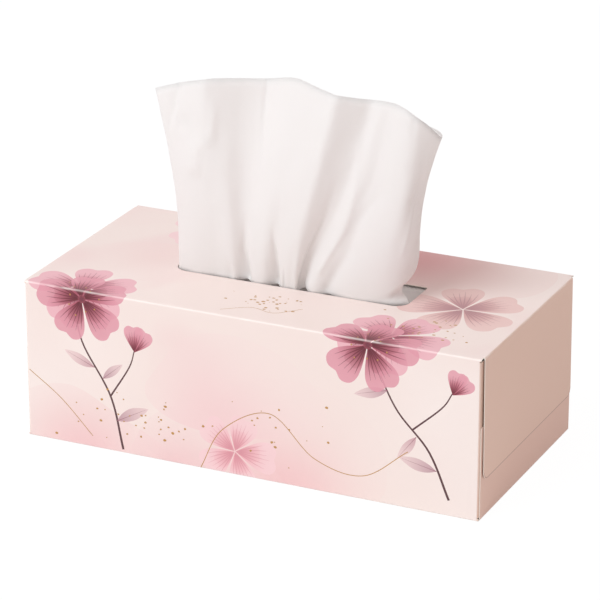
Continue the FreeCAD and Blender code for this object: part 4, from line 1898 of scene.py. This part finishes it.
@dataclass(frozen=True)
class Studio:
    """Pale floor, soft light and the camera at the photograph's viewing angle.

    Attributes:
        eye: the camera's place.
        ahead: the direction that it looks in.
        lens: focal length in millimetres on a 36 mm sensor.
        roll: turn about its axis in degrees.
        world: strength of the light from all round.
        world_tone: its colour.
        key: power of the lamp in watts.
        key_tone: its colour.
        key_place: where it hangs.
        key_size: its side.
        key_aim: the place that it points at.
        floor_side: half the floor's side.
        floor_shade: the floor's colour.
        floor_glow: how white the floor looks where no shadow falls.
        floor_share: how much of that hides the shadow.
    """

    eye: tuple[float, float, float] = (0.5997, -1.2794, 0.6240)
    ahead: tuple[float, float, float] = (-0.3947, 0.8424, -0.3668)
    lens: float = 195.7
    roll: float = -0.085
    world: float = 0.612
    world_tone: str = "FFF3F0"
    key: float = 41.8
    key_tone: str = "EDFAFF"
    key_place: tuple[float, float, float] = (-0.88, -1.5, 1.93)
    key_size: float = 1.6
    key_aim: tuple[float, float, float] = (0.0, 0.0, 0.08)
    floor_side: float = 6.0
    floor_shade: str = "F4F3F2"
    floor_glow: float = 1.03
    floor_share: float = 0.94

    def build(self) -> None:
        """Sets up the floor, the lamp, the world and the camera."""
        self.floor()
        self.lamp()
        self.sky()
        self.camera()
        bpy.context.scene.view_settings.view_transform = "Standard"

    def floor(self) -> None:
        """Lays the floor, which the camera sees as white with a faint shadow."""
        side = self.floor_side
        corners = [(-side, -side, 0), (side, -side, 0), (side, side, 0), (-side, side, 0)]
        mesh = bpy.data.meshes.new("floor")
        mesh.from_pydata(corners, [], [(0, 1, 2, 3)])
        # Dull white paper, on which the eye sees nothing but the shadow.
        material, tree, shader = new_material("white_paper_floor")
        shader.inputs["Base Color"].default_value = linear(self.floor_shade)
        shader.inputs["Roughness"].default_value = 1.0
        white = {"Color": (1.0, 1.0, 1.0, 1.0), "Strength": self.floor_glow}
        glow = add_node(tree, "ShaderNodeEmission", white)
        share = {0: backdrop_rays(tree), 1: self.floor_share}
        seen = add_node(tree, "ShaderNodeMath", share, operation="MULTIPLY")
        sides = {0: seen.outputs[0], 1: shader.outputs["BSDF"], 2: glow.outputs["Emission"]}
        replace_surface(tree, add_node(tree, "ShaderNodeMixShader", sides).outputs[0])
        mesh.materials.append(material)
        new_object("floor", mesh)

    def lamp(self) -> None:
        """Hangs one large soft lamp over the left shoulder, pointed at the box."""
        light = bpy.data.lights.new("key", "AREA")
        light.energy = self.key
        light.color = linear(self.key_tone)[:3]
        light.size = self.key_size
        lamp = bpy.data.objects.new("key", light)
        bpy.context.scene.collection.objects.link(lamp)
        towards = (Vector(self.key_aim) - Vector(self.key_place)).to_track_quat("-Z", "Y")
        lamp.matrix_world = Matrix.Translation(self.key_place) @ towards.to_matrix().to_4x4()

    def sky(self) -> None:
        """Lights the room evenly and shows white to the camera and to gloss."""
        world = bpy.data.worlds.new("studio")
        bpy.context.scene.world = world
        world.use_nodes = True
        tree = world.node_tree
        tree.nodes.clear()
        lights = {1: (linear(self.world_tone), self.world), 2: ((1.0, 1.0, 1.0, 1.0), 1.0)}
        sides = {0: backdrop_rays(tree)}
        for side, (tone, strength) in lights.items():
            light = add_node(tree, "ShaderNodeBackground", {"Color": tone, "Strength": strength})
            sides[side] = light.outputs[0]
        mixed = add_node(tree, "ShaderNodeMixShader", sides)
        add_node(tree, "ShaderNodeOutputWorld", {"Surface": mixed.outputs[0]})

    def camera(self) -> None:
        """Puts the camera where the photograph was taken from."""
        data = bpy.data.cameras.new("camera")
        data.lens = self.lens
        data.sensor_width = 36.0
        data.clip_end = 20.0
        camera = bpy.data.objects.new("camera", data)
        bpy.context.scene.collection.objects.link(camera)
        turn = Vector(self.ahead).to_track_quat("-Z", "Y").to_matrix().to_4x4()
        roll = Matrix.Rotation(math.radians(self.roll), 4, "Z")
        camera.matrix_world = Matrix.Translation(self.eye) @ turn @ roll
        bpy.context.scene.camera = camera


def finish_piece(piece: bpy.types.Object, node: str) -> None:
    """Ties a finished piece to the CAD node that it stands for.

    Args:
        piece: the finished object.
        node: the CAD node that it replaces.
    """
    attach(piece, "root")
    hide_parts(node)
    log.info("%s: %d faces", piece.name, len(piece.data.polygons))


def main() -> None:
    """Builds the carton, the tissues and the studio."""
    logging.basicConfig(level=logging.INFO, format="%(message)s")
    low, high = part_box("carton")
    blank = CartonBlank(high.x - low.x, high.y - low.y, high.z - low.z)
    carton = FoldedCarton(blank).build()
    finish_piece(carton, "carton")
    paper = CrepedTissue().build()
    stack = LeafStack(*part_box("tissue_stack")).build(paper)
    finish_piece(stack, "tissue_stack")
    tissue = StandingTissue(high.z, blank.slot).build(paper)
    finish_piece(tissue, "popup_tissue")
    Studio().build()


if __name__ == "__main__":
    main()
